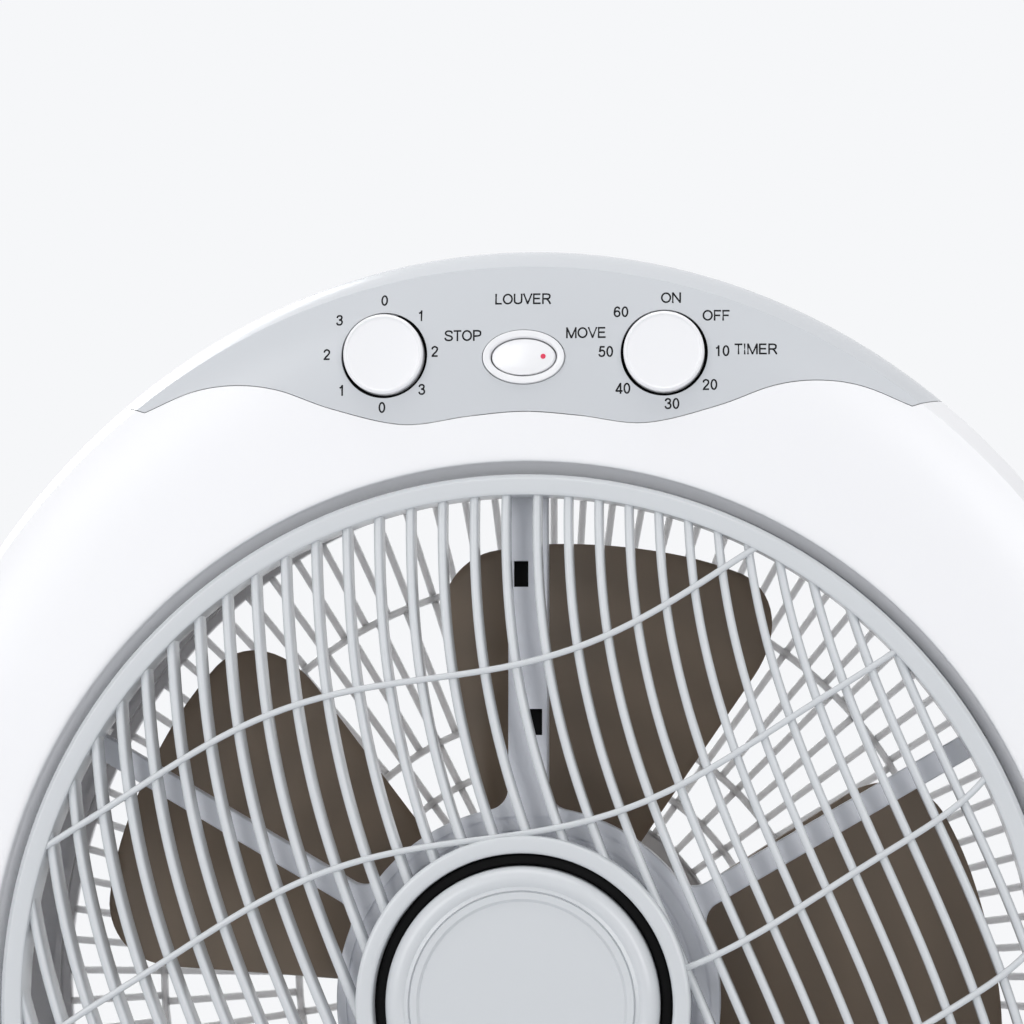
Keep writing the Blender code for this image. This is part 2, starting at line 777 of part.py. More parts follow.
def thin_out(run):
    """Drop the points of a fine path that its straight pieces can do without."""
    start, end = Vector(run[0]), Vector(run[-1])
    along = (end - start).normalized()
    offsets = [abs(along.cross(Vector(point) - start)) for point in run]
    worst = max(range(len(run)), key=offsets.__getitem__)
    if offsets[worst] < CURVE_TOLERANCE:
        return [run[0], run[-1]]
    return thin_out(run[: worst + 1])[:-1] + thin_out(run[worst:])


def ribbons(name, paths, front, back, thickness):
    """Upright strips along the paths, each a closed body of its own."""
    bm = bmesh.new()
    for path in paths:
        near = [bm.verts.new((x, up, -front)) for x, up in path]
        far = [bm.verts.new((x, up, -back)) for x, up in path]
        for k in range(len(path) - 1):
            bm.faces.new((near[k], near[k + 1], far[k + 1], far[k]))
    obj = add_object(name, mesh_from(name, bm), None)
    solidify = obj.modifiers.new("Thickness", "SOLIDIFY")
    solidify.thickness = thickness
    solidify.offset = 0.0
    return obj


def louver_paths(point_at, indices):
    """Sample each curve finely, keep what lies between hub and ring, then thin it."""
    low = HUB_RING_RADIUS - HUB_RING_WIDTH / 2
    high = RING_RADIUS - RING_WIDTH / 2
    count = round(RING_RADIUS / CURVE_SAMPLE)
    paths = []
    for index in indices:
        fine = [
            louver_point(*point_at(index, k * CURVE_SAMPLE)) for k in range(-count, count + 1)
        ]
        paths += [thin_out(run) for run in clip_runs(fine, low, high)]
    return paths


def slat_paths():
    reach = math.ceil(RING_RADIUS / SLAT_PITCH)
    return louver_paths(lambda i, v: (slat_u(i, v), v), range(-reach, reach + 1))


def rib_paths():
    reach = math.floor(RING_RADIUS / RIB_PITCH)
    return louver_paths(
        lambda i, u: (u, i * RIB_PITCH + rib_swing(u)), range(-reach + 1, reach)
    )


def build_louver_wheel():
    inner = RING_RADIUS - RING_WIDTH
    ring = [
        (inner, RING_EDGE),
        (inner + RING_EDGE, 0.0),
        (RING_RADIUS - RING_EDGE, 0.0),
        (RING_RADIUS, RING_EDGE),
        (RING_RADIUS, RING_LENGTH),
        (inner, RING_LENGTH),
    ]
    obj = turned("louver_wheel", ring, LOUVER_GREY, steps=RING_STEPS, ring=True)
    hub_inner = HUB_RING_RADIUS - HUB_RING_WIDTH
    floor_back = HUB_FLOOR_FRONT + WALL
    bore = LOUVER_SHAFT_RADIUS + GAP
    crown = -HUB_RING_PROUD
    hub = [
        (bore, HUB_FLOOR_FRONT),
        (hub_inner, HUB_FLOOR_FRONT),
        (hub_inner, crown + RING_EDGE * 2),
        (hub_inner + RING_EDGE * 2, crown),
        (HUB_RING_RADIUS - RING_EDGE * 2, crown),
        (HUB_RING_RADIUS, crown + RING_EDGE * 2),
        (HUB_RING_RADIUS, floor_back),
        (HUB_BOSS_RADIUS, floor_back),
        (HUB_BOSS_RADIUS, floor_back + HUB_BOSS_LENGTH),
        (bore, floor_back + HUB_BOSS_LENGTH),
    ]
    hub_tool = turned("louver_hub", hub, None, steps=HUB_STEPS, ring=True)
    slats = ribbons(
        "slats", slat_paths(), SLAT_FRONT, SLAT_FRONT + SLAT_LENGTH, SLAT_THICKNESS
    )
    ribs = ribbons("ribs", rib_paths(), RIB_FRONT, RIB_FRONT + RIB_LENGTH, RIB_THICKNESS)
    join(obj, slats, ribs, hub_tool)
    return obj


def build_hub_cap():
    seat = HUB_FLOOR_FRONT - GAP
    front = -CAP_PROUD
    shoulder = CAP_RADIUS - CAP_ROUND
    profile = [(0.0, front), (shoulder, front)]
    for k in range(1, CAP_ROUND_STEPS + 1):
        turn = math.pi / 2 * k / CAP_ROUND_STEPS
        edge = shoulder + CAP_ROUND * math.sin(turn)
        profile.append((edge, front + CAP_ROUND_DEPTH * (1 - math.cos(turn))))
    inner = CAP_RADIUS - WALL
    profile += [
        (CAP_RADIUS, seat),
        (inner, seat),
        (inner, front + CAP_ROUND),
        (shoulder, front + WALL),
        (0.0, front + WALL),
    ]
    return turned("hub_cap", profile, LOUVER_GREY, steps=HUB_STEPS)


def build_hub_trim_ring():
    inner = CAP_RADIUS + GAP
    outer = HUB_RING_RADIUS - HUB_RING_WIDTH - GAP
    profile = ring_profile(inner, outer, TRIM_RECESS, HUB_FLOOR_FRONT - GAP)
    return turned("hub_trim_ring", profile, BLACK, steps=HUB_STEPS, ring=True)


def build_louver_drive():
    shaft_front = HUB_FLOOR_FRONT - WALL
    motor_front = CARRIER_FRONT + CARRIER_DISC_WEB + GAP
    socket = motor_front + LOUVER_MOTOR_LENGTH / 2
    rod("louver_shaft", LOUVER_SHAFT_RADIUS, shaft_front, socket - GAP, STEEL)
    bore = LOUVER_SHAFT_RADIUS + GAP
    cap_back = HUB_FLOOR_FRONT - GAP
    retainer = [
        (0.0, shaft_front - WALL),
        (LOUVER_RETAINER_RADIUS, shaft_front - WALL),
        (LOUVER_RETAINER_RADIUS, cap_back),
        (bore, cap_back),
        (bore, shaft_front - GAP),
        (0.0, shaft_front - GAP),
    ]
    turned("louver_retainer", retainer, BLACK)
    back = motor_front + LOUVER_MOTOR_LENGTH
    motor = [
        (0.0, socket),
        (bore, socket),
        (bore, motor_front),
        (LOUVER_MOTOR_RADIUS, motor_front),
        (LOUVER_MOTOR_RADIUS, back),
        (0.0, back),
    ]
    turned("louver_motor", motor, STEEL, steps=CORE_STEPS)


def carrier_window(index):
    """One opening between two arms, its inner corners rounded into the disc."""
    outer = OPENING_RADIUS - GAP - CARRIER_RIM_WIDTH
    inner = CARRIER_DISC_RADIUS
    spread = math.tau / ARM_COUNT
    start = FIRST_ARM_ANGLE + spread * index
    widths = []
    for arm in (index, (index + 1) % ARM_COUNT):
        widths.append((WIRE_ARM_WIDTH if arm == WIRE_ARM else ARM_WIDTH) / 2)
    outline = []
    low = start + math.asin(widths[0] / outer)
    high = start + spread - math.asin(widths[1] / outer)
    outline += arc(outer, low, high, WINDOW_OUTER_STEPS)
    outline += arm_fillet(start + spread, -1, widths[1], inner)
    first = arm_fillet(start, 1, widths[0], inner)
    ends = (outline[-1], first[-1])
    angles = [math.atan2(up, x) for x, up in ends]
    if angles[0] < angles[1]:
        angles[0] += math.tau
    outline += arc(inner, angles[0], angles[1], WINDOW_INNER_STEPS)[1:-1]
    outline += list(reversed(first))
    return outline


def arm_fillet(arm_angle, side, half_width, inner):
    """Quarter round from an arm's edge to the disc, as points going inwards."""
    radius = ARM_FILLET
    offset = half_width + radius
    along = math.sqrt((inner + radius) ** 2 - offset**2)
    direction = Vector(polar(1.0, arm_angle))
    across = Vector((-direction.y, direction.x)) * side
    centre = direction * along + across * offset
    start = math.atan2(*reversed(-across))
    to_disc = math.atan2(-centre.y, -centre.x)
    sweep = (to_disc - start + math.pi) % math.tau - math.pi
    turns = [start + sweep * k / FILLET_STEPS for k in range(FILLET_STEPS + 1)]
    return [tuple(centre + Vector(polar(radius, turn))) for turn in turns]


def build_motor_carrier():
    rim = OPENING_RADIUS - GAP
    outlines = [arc(rim, 0.0, math.tau * (1 - 1 / SHELL_STEPS), SHELL_STEPS - 1)]
    outlines += [carrier_window(index) for index in range(ARM_COUNT)]
    obj = flat("motor_carrier", outlines, CARRIER_FRONT, CARRIER_BACK, CARRIER_GREY)
    pocket = rods(
        "louver_motor_pocket",
        [(0.0, 0.0)],
        LOUVER_MOTOR_RADIUS + GAP,
        CARRIER_FRONT + CARRIER_DISC_WEB,
        CARRIER_BACK + REACH,
        CORE_STEPS,
    )
    bore = rods(
        "carrier_bore",
        [(0.0, 0.0)],
        LOUVER_SHAFT_RADIUS + RUNNING_GAP,
        CARRIER_FRONT - REACH,
        CARRIER_BACK,
        SMALL_STEPS,
    )
    channel = block(
        "wire_channel",
        (-WIRE_CHANNEL_WIDTH / 2, CARRIER_DISC_RADIUS, CARRIER_BACK - WIRE_CHANNEL_DEPTH),
        (WIRE_CHANNEL_WIDTH / 2, RIM_MIDDLE - CARRIER_RIM_WIDTH, CARRIER_BACK + REACH),
        None,
    )
    screw_holes = rods(
        "carrier_screw_holes", LUG_CENTRES, SCREW_RADIUS + GAP, -REACH, CARRIER_BACK + REACH
    )
    cut(obj, pocket, bore, channel, screw_holes)
    for number, (x, up) in enumerate(WIRE_HOLE_CENTRES):
        hole = block(
            f"wire_hole_{number}",
            (x - WIRE_HOLE_WIDTH / 2, up - WIRE_HOLE_HEIGHT / 2, -REACH),
            (x + WIRE_HOLE_WIDTH / 2, up + WIRE_HOLE_HEIGHT / 2, CARRIER_BACK + REACH),
            None,
        )
        cut(obj, hole)
    block(
        "wire_cover",
        (
            GAP - WIRE_CHANNEL_WIDTH / 2,
            CARRIER_DISC_RADIUS + GAP,
            CARRIER_BACK - WIRE_COVER_THICKNESS,
        ),
        (WIRE_CHANNEL_WIDTH / 2 - GAP, RIM_MIDDLE - CARRIER_RIM_WIDTH - GAP, CARRIER_BACK),
        BLACK,
    )
    for number, centre in enumerate(LUG_CENTRES, start=1):
        head = CARRIER_FRONT - GAP - SCREW_HEAD_LENGTH
        tip = CARRIER_BACK + LUG_LENGTH
        screw(f"carrier_screw_{number}", centre, tip, head, STEEL, head_first=True)


def blade_point(along, across, centre_angle):
    """A blade's middle surface: along runs from root to tip, across from -1 to 1."""
    reach = BLADE_TIP_RADIUS - BLADE_ROOT_RADIUS
    radius = BLADE_ROOT_RADIUS + reach * along
    corner_start = 1.0 - BLADE_CORNER / reach
    width = 1.0
    if along > corner_start:
        into = (along - corner_start) / (1.0 - corner_start)
        width = 1.0 - BLADE_TIP_NARROWING * (1.0 - math.sqrt(max(0.0, 1.0 - into**2)))
    swing = BLADE_HALF_ANGLE * width * across
    radius -= BLADE_TIP_SKEW * swing * along**3
    depth = BLADE_MIDDLE - BLADE_PITCH_RISE * width * across
    depth -= BLADE_CAMBER * (1.0 - across**2) * along
    return (*polar(radius, centre_angle + swing), -depth)


def build_blade_rotor():
    front = HUB_CUP_FRONT
    back = front + HUB_CUP_LENGTH
    bore = SHAFT_RADIUS + GAP
    boss = SHAFT_RADIUS * 2
    inner = HUB_CUP_RADIUS - HUB_CUP_WALL
    cup = [
        (bore, front),
        (inner, front),
        (HUB_CUP_RADIUS, front + HUB_CUP_WALL),
        (HUB_CUP_RADIUS, back),
        (inner, back),
        (inner, front + HUB_CUP_WALL),
        (boss, front + HUB_CUP_WALL),
        (boss, (front + back) / 2),
        (bore, (front + back) / 2),
    ]
    obj = turned("blade_rotor", cup, SMOKE, steps=HUB_STEPS, ring=True)
    bm = bmesh.new()
    for number in range(BLADE_COUNT):
        angle = BLADE_FIRST_ANGLE + math.tau * number / BLADE_COUNT
        grid = []
        for along in BLADE_ROWS:
            row = []
            for k in range(BLADE_COLUMNS + 1):
                across = 2 * k / BLADE_COLUMNS - 1
                row.append(bm.verts.new(blade_point(along, across, angle)))
            grid.append(row)
        for near, far in zip(grid, grid[1:]):
            for k in range(BLADE_COLUMNS):
                bm.faces.new((near[k], far[k], far[k + 1], near[k + 1]))
    blades = add_object("blades", mesh_from("blades", bm), None)
    solidify = blades.modifiers.new("Thickness", "SOLIDIFY")
    solidify.thickness = BLADE_THICKNESS
    solidify.offset = 0.0
    join(obj, blades)


def build_motor():
    bore = SHAFT_RADIUS + GAP
    nut = [
        (0.0, NUT_FRONT),
        (NUT_RADIUS, NUT_FRONT),
        (NUT_RADIUS, NUT_BACK),
        (bore, NUT_BACK),
        (bore, NUT_FRONT + WALL),
        (0.0, NUT_FRONT + WALL),
    ]
    turned("blade_nut", nut, SMOKE)
    pocket_floor = MOTOR_BACK - MOTOR_WALL
    rod("motor_shaft", SHAFT_RADIUS, NUT_FRONT + WALL + GAP, pocket_floor - GAP, STEEL)

    inner = MOTOR_RADIUS - MOTOR_WALL
    seat_outer = BEARING_SEAT + MOTOR_WALL
    seat_front = pocket_floor - BEARING_LENGTH
    rear_housing = [
        (0.0, pocket_floor),
        (BEARING_SEAT, pocket_floor),
        (BEARING_SEAT, seat_front),
        (seat_outer, seat_front),
        (seat_outer, pocket_floor),
        (inner, pocket_floor),
        (inner, REAR_HOUSING_FRONT),
        (MOTOR_RADIUS, REAR_HOUSING_FRONT),
        (MOTOR_RADIUS, MOTOR_BACK),
        (0.0, MOTOR_BACK),
    ]
    housing = turned("rear_motor_housing", rear_housing, ALUMINIUM, steps=CORE_STEPS)
    screw_bores = rods(
        "motor_screw_bores",
        motor_screw_centres(),
        SCREW_RADIUS + GAP,
        pocket_floor - REACH,
        MOTOR_BACK + REACH,
    )
    cut(housing, screw_bores)
    grille_back = GRILLE_FRONT + GRILLE_THICKNESS
    for number, centre in enumerate(motor_screw_centres(), start=1):
        head = grille_back + GAP + SCREW_HEAD_LENGTH
        screw(f"motor_screw_{number}", centre, pocket_floor - GAP, head, STEEL)
    turned(
        "rear_bearing",
        ring_profile(bore, BEARING_RADIUS, seat_front, pocket_floor - GAP),
        BRONZE,
        steps=CORE_STEPS,
        ring=True,
    )

    wall_back = FRONT_HOUSING_FRONT + MOTOR_WALL
    seat_back = wall_back + BEARING_LENGTH
    front_housing = [
        (bore, FRONT_HOUSING_FRONT),
        (MOTOR_RADIUS, FRONT_HOUSING_FRONT),
        (MOTOR_RADIUS, FRONT_HOUSING_BACK),
        (inner, FRONT_HOUSING_BACK),
        (inner, wall_back),
        (seat_outer, wall_back),
        (seat_outer, seat_back),
        (BEARING_SEAT, seat_back),
        (BEARING_SEAT, wall_back),
        (bore, wall_back),
    ]
    turned("front_motor_housing", front_housing, ALUMINIUM, steps=CORE_STEPS, ring=True)
    turned(
        "front_bearing",
        ring_profile(bore, BEARING_RADIUS, wall_back + GAP, seat_back),
        BRONZE,
        steps=CORE_STEPS,
        ring=True,
    )
    turned(
        "stator_core",
        ring_profile(ROTOR_CORE_RADIUS + AIR_GAP, MOTOR_RADIUS, STATOR_FRONT, STATOR_BACK),
        CORE_STEEL,
        steps=CORE_STEPS,
        ring=True,
    )
    turned(
        "rotor_core",
        ring_profile(bore, ROTOR_CORE_RADIUS, STATOR_FRONT, STATOR_BACK),
        CORE_STEEL,
        steps=CORE_STEPS,
        ring=True,
    )
    front_coil_back = STATOR_FRONT - GAP
    rear_coil_front = STATOR_BACK + GAP
    for name, front in (
        ("front_coil_ring", front_coil_back - COIL_LENGTH),
        ("rear_coil_ring", rear_coil_front),
    ):
        profile = ring_profile(COIL_INNER_RADIUS, COIL_OUTER_RADIUS, front, front + COIL_LENGTH)
        turned(name, profile, COPPER, steps=CORE_STEPS, ring=True)


def switch_front():
    """Depth at which a switch body clears the panel's inner face over its whole footprint."""
    corners = [
        face_depth(x, up)
        for x in (KNOB_X - SWITCH_HALF_WIDTH, KNOB_X + SWITCH_HALF_WIDTH)
        for up in (KNOB_UP - SWITCH_HALF_HEIGHT, KNOB_UP + SWITCH_HALF_HEIGHT)
    ]
    return max(corners) + WALL + RUNNING_GAP


def build_knob_set(side, knob_name, spindle_name, body_name):
    centre = (side * KNOB_X, KNOB_UP)
    bore = SPINDLE_RADIUS + GAP
    front = -KNOB_PROUD
    back = front + KNOB_LENGTH
    knob = [
        (0.0, front),
        (KNOB_RADIUS - KNOB_EDGE, front),
        (KNOB_RADIUS, front + KNOB_EDGE),
        (KNOB_RADIUS, back),
        (bore, back),
        (bore, front + WALL),
        (0.0, front + WALL),
    ]
    turned(knob_name, knob, WHITE, centre, HUB_STEPS)
    body_front = switch_front()
    socket = body_front + SPINDLE_RADIUS * 2
    rod(spindle_name, SPINDLE_RADIUS, front + WALL + GAP, socket - GAP, BRONZE, centre)
    x, up = centre
    body = block(
        body_name,
        (x - SWITCH_HALF_WIDTH, up - SWITCH_HALF_HEIGHT, body_front),
        (x + SWITCH_HALF_WIDTH, up + SWITCH_HALF_HEIGHT, body_front + SWITCH_LENGTH),
        BLACK,
    )
    cut(body, rods(body_name + "_socket", [centre], bore, body_front - REACH, socket, SMALL_STEPS))


def bezel_radii(extra=0.0):
    grow = BEZEL_GAP + BEZEL_WIDTH + extra
    return ROCKER_HALF_WIDTH + grow, ROCKER_HALF_HEIGHT + grow


def build_rocker():
    inner = ellipse(ROCKER_HALF_WIDTH + BEZEL_GAP, ROCKER_HALF_HEIGHT + BEZEL_GAP)
    centre = (0.0, ROCKER_UP)
    flat(
        "rocker_bezel", [ellipse(*bezel_radii()), inner], -BEZEL_PROUD, BEZEL_BACK, WHITE, centre
    )
    half = ROCKER_THICKNESS / 2
    outline = ellipse(ROCKER_HALF_WIDTH, ROCKER_HALF_HEIGHT)
    button = flat("rocker_button", [outline], -half, half, WHITE, centre)
    button.location.z = -ROCKER_PIVOT
    button.rotation_euler = (0.0, -ROCKER_TILT, 0.0)
    front = BEZEL_BACK + GAP
    block(
        "rocker_switch_body",
        (-ROCKER_SWITCH_HALF_WIDTH, ROCKER_UP - ROCKER_SWITCH_HALF_HEIGHT, front),
        (
            ROCKER_SWITCH_HALF_WIDTH,
            ROCKER_UP + ROCKER_SWITCH_HALF_HEIGHT,
            front + ROCKER_SWITCH_LENGTH,
        ),
        BLACK,
    )


def build_capacitor():
    low = OPENING_RADIUS + WALL + GAP
    block(
        "capacitor",
        (-CAPACITOR_WIDTH / 2, low, CAPACITOR_FRONT),
        (CAPACITOR_WIDTH / 2, low + CAPACITOR_HEIGHT, CAPACITOR_FRONT + CAPACITOR_LENGTH),
        BLACK,
    )


def build_cord_gland():
    neck = BODY_BACK + GAP
    profile = [
        (GLAND_BORE, GLAND_FRONT + GAP),
        (GLAND_RADIUS, GLAND_FRONT + GAP),
        (GLAND_RADIUS, neck),
        (GLAND_FLANGE_RADIUS, neck),
        (GLAND_FLANGE_RADIUS, GLAND_BACK),
        (GLAND_BORE, GLAND_BACK),
    ]
    turned("cord_gland", profile, BLACK, (0.0, -GLAND_DROP), ring=True)


def build_grip_tray():
    back = BODY_BACK + GRIP_RIM_PROUD
    tray = block(
        "grip_tray",
        (-GRIP_HALF_WIDTH, GRIP_LOW, GRIP_FLOOR),
        (GRIP_HALF_WIDTH, GRIP_LOW + GRIP_HEIGHT, back),
        WHITE,
    )
    hollow = block(
        "grip_hollow",
        (-GRIP_HALF_WIDTH + GRIP_WALL, GRIP_LOW + GRIP_WALL, GRIP_FLOOR + GRIP_WALL),
        (GRIP_HALF_WIDTH - GRIP_WALL, GRIP_LOW + GRIP_HEIGHT - GRIP_WALL, back + REACH),
        None,
    )
    cut(tray, hollow)


def build_shell_screws():
    head = REAR_SHELL_FRONT + WELL_FLOOR + GAP + SCREW_HEAD_LENGTH
    tip = REAR_SHELL_FRONT - SHELL_SCREW_BITE
    for number, centre in enumerate(WELL_CENTRES, start=1):
        screw(f"shell_screw_{number}", centre, tip, head, STEEL)


def build_feet():
    """Two feet across the fan's depth, each cut to sit under the housing's curve."""
    low = PAD_HEIGHT + GAP
    half = [
        (0.0, low),
        (HALF_DEPTH, low),
        (HALF_DEPTH, FOOT_TOE_HEIGHT),
        (FOOT_SLOPE_Y, FOOT_SLOPE_HEIGHT),
        (FOOT_SADDLE_Y, FOOT_SADDLE_HEIGHT),
    ]
    profile = half[1:] + [(-y, z) for y, z in reversed(half[1:])]
    angles = [math.tau * k / (SHELL_STEPS * 2) for k in range(SHELL_STEPS * 2)]
    outline = [polar(outline_radius(angle) + GAP, angle) for angle in angles]
    saddle = flat("foot_saddle", [outline], -REACH, BODY_BACK + REACH, None)
    for side, name in ((-1, "foot_left"), (1, "foot_right")):
        bm = bmesh.new()
        start = side * FOOT_X - FOOT_WIDTH / 2
        face = bm.faces.new([bm.verts.new((start, y, z)) for y, z in profile])
        pulled = bmesh.ops.extrude_face_region(bm, geom=[face])["geom"]
        moved = [v for v in pulled if isinstance(v, bmesh.types.BMVert)]
        bmesh.ops.translate(bm, verts=moved, vec=(FOOT_WIDTH, 0.0, 0.0))
        bmesh.ops.recalc_face_normals(bm, faces=bm.faces)
        foot = add_object(name, mesh_from(name, bm), WHITE)
        foot.parent = None
        cut(foot, saddle)
    number = 0
    for side in (-1, 1):
        for end in (-1, 1):
            number += 1
            name = f"foot_pad_{number}"
            bm = bmesh.new()
            bmesh.ops.create_cone(
                bm,
                cap_ends=True,
                segments=SMALL_STEPS,
                radius1=PAD_RADIUS,
                radius2=PAD_RADIUS,
                depth=PAD_HEIGHT,
            )
            pad = add_object(name, mesh_from(name, bm), RUBBER)
            pad.parent = None
            pad.location = (side * FOOT_X, end * PAD_Y, PAD_HEIGHT / 2)


build_front_shell()
build_duct_ring()
build_control_panel()
build_rear_shell()
build_rear_grille()
build_louver_wheel()
build_hub_cap()
build_hub_trim_ring()
build_louver_drive()
build_motor_carrier()
build_blade_rotor()
build_motor()
build_knob_set(-1, "speed_knob", "speed_spindle", "speed_switch_body")
build_knob_set(1, "timer_knob", "timer_spindle", "timer_body")
build_rocker()
build_capacitor()
build_cord_gland()
build_grip_tray()
build_shell_screws()
build_feet()
bpy.context.view_layer.update()
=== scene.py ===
"""Looks of a box fan with a turning louver wheel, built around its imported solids."""

import math

import bmesh
import bpy
from bpy.props import FloatProperty, FloatVectorProperty, IntProperty, PointerProperty
from mathutils import Matrix, Vector


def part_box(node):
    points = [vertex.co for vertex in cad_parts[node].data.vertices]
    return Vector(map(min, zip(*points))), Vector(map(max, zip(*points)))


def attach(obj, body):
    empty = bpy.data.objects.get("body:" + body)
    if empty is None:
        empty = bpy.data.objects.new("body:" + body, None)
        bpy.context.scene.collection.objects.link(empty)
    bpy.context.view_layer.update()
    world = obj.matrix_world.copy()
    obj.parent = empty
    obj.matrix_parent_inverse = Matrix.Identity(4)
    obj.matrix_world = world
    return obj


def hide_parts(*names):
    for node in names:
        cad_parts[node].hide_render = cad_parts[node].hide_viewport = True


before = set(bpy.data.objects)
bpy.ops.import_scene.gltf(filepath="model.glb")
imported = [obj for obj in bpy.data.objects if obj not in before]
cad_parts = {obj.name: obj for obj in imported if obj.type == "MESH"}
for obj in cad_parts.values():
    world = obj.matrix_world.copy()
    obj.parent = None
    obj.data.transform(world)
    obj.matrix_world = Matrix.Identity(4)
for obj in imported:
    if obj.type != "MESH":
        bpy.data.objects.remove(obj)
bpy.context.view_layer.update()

bl_info = {
    "name": "Box fan with louver",
    "version": (1, 0, 0),
    "blender": (4, 5, 0),
    "location": "View3D > Sidebar > Fan",
    "description": "Builds the looks of a box fan around its packed solids",
    "category": "Object",
}

# The hub axis and the louver ring's front plane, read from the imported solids. Pieces are drawn in
# a front frame of (x, up, depth) whose origin is where the two meet.
SHAFT_LOW, SHAFT_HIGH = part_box("motor_shaft")
HUB_Z = (SHAFT_LOW.z + SHAFT_HIGH.z) / 2
LOUVER_LOW, LOUVER_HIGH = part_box("louver_wheel")
HUB_RING_PROUD = 0.0055
FRONT_Y = LOUVER_LOW.y + HUB_RING_PROUD
TO_FRONT = Matrix.Translation((0.0, FRONT_Y, HUB_Z)) @ Matrix.Rotation(math.pi / 2, 4, "X")

# Fineness of the round meshes, and the angle in degrees past which an edge is sharp.
SHELL_STEPS = 192
ROUND_STEPS = 128
SMALL_STEPS = 48
SHARP_ANGLE = 34.0
MERGE_DISTANCE = 1e-6
POLE_RADIUS = 1e-7  # a profile's point nearer to the axis than this is a pole
REACH = 0.05  # how far a cutting tool runs past what it cuts
# Radii to which the edges of the mouldings are rounded.
FINE_EDGE = 0.0006
EDGE = 0.0008
WIDE_EDGE = 0.0012


def depth_of(node):
    """Front and back of a node, as depths behind the louver ring's front plane."""
    low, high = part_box(node)
    return low.y - FRONT_Y, high.y - FRONT_Y


def radius_of(node):
    """Outer radius of a turned node."""
    low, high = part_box(node)
    return (high.x - low.x) / 2


def centre_of(node):
    """A node's middle as (x, up) in the front frame."""
    low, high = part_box(node)
    return ((low.x + high.x) / 2, (low.z + high.z) / 2 - HUB_Z)


def numbered(prefix, count):
    return [f"{prefix}_{number}" for number in range(1, count + 1)]


def linear(hex_text):
    """An sRGB hex value as linear red, green, blue and full alpha."""
    values = [int(hex_text[i : i + 2], 16) / 255 for i in (0, 2, 4)]
    out = [v / 12.92 if v <= 0.04045 else ((v + 0.055) / 1.055) ** 2.4 for v in values]
    return (*out, 1.0)


def length_setting(name, default, description):
    return FloatProperty(
        name=name, default=default, description=description, subtype="DISTANCE", unit="LENGTH"
    )


def angle_setting(name, degrees, description):
    return FloatProperty(
        name=name, default=math.radians(degrees), description=description, subtype="ANGLE"
    )


def count_setting(name, default, least, description):
    return IntProperty(name=name, default=default, min=least, description=description)


def colour_setting(name, hex_text, description):
    return FloatVectorProperty(
        name=name,
        default=linear(hex_text)[:3],
        size=3,
        min=0.0,
        max=1.0,
        description=description,
        subtype="COLOR",
    )


class HousingSettings(bpy.types.PropertyGroup):
    half_width: length_setting("Half width", 0.249, "Half of the housing's widest span")
    rise: length_setting("Rise", 0.276, "Housing's top above the hub axis")
    drop: length_setting("Drop", 0.250, "Housing's bottom below the hub axis")
    wall: length_setting("Wall", 0.0025, "Wall thickness of the moulded shells")
    opening: length_setting("Opening", 0.1947, "Radius of the opening round the louver wheel")
    rear_opening: length_setting("Rear opening", 0.204, "Radius of the rear grille's opening")
    face_round: length_setting("Face rounding", 0.035, "Depth over which the face rounds off")
    parting: length_setting("Parting depth", 0.060, "Depth of the seam between the shells")
    back: length_setting("Back depth", 0.160, "Depth of the housing's back")
    seam: length_setting("Seam", 0.0003, "Gap between pieces that meet")


class LouverSettings(bpy.types.PropertyGroup):
    ring_radius: length_setting("Ring radius", 0.190, "Outer radius of the louver ring")
    ring_width: length_setting("Ring width", 0.0075, "Width of the louver ring's face")
    ring_length: length_setting("Ring depth", 0.016, "Depth of the louver ring")
    hub_radius: length_setting("Hub radius", 0.0598, "Outer radius of the hub ring")
    hub_width: length_setting("Hub ring width", 0.0063, "Width of the hub ring's face")
    pitch: length_setting("Slat pitch", 0.01156, "Spacing of the slats")
    slat_width: length_setting("Slat width", 0.0031, "Width of a slat's front")
    slat_length: length_setting("Slat depth", 0.011, "Depth of a slat")
    slat_front: length_setting("Slat front", 0.003, "Depth of the slats' front edges")
    rib_pitch: length_setting("Rib pitch", 0.0605, "Spacing of the cross ribs")
    rib_width: length_setting("Rib width", 0.0023, "Width of a cross rib")
    turn: angle_setting("Turn", 16.5, "Angle at which the louver wheel stands")


class GrilleSettings(bpy.types.PropertyGroup):
    outer_bars: count_setting("Outer bars", 100, 10, "Bars in the outer zone")
    middle_bars: count_setting("Middle bars", 80, 10, "Bars in the middle zone")
    inner_bars: count_setting("Inner bars", 40, 10, "Bars in the two inner zones")
    bar_width: length_setting("Bar width", 0.0030, "Width of a rear grille bar")
    outer_ring: length_setting("Outer ring", 0.161, "Radius of the outer cross ring")
    middle_ring: length_setting("Middle ring", 0.105, "Radius of the middle cross ring")
    inner_ring: length_setting("Inner ring", 0.0852, "Radius of the inner cross ring")
    plate: length_setting("Plate", 0.070, "Radius of the plate behind the motor")


class BladeSettings(bpy.types.PropertyGroup):
    count: count_setting("Blades", 5, 2, "Number of blades")
    tip: length_setting("Tip radius", 0.1707, "Radius of the blades' tips")
    thickness: length_setting("Thickness", 0.0018, "Thickness of a blade")
    first: angle_setting("First blade", 79.9, "Angle at which the first blade stands")


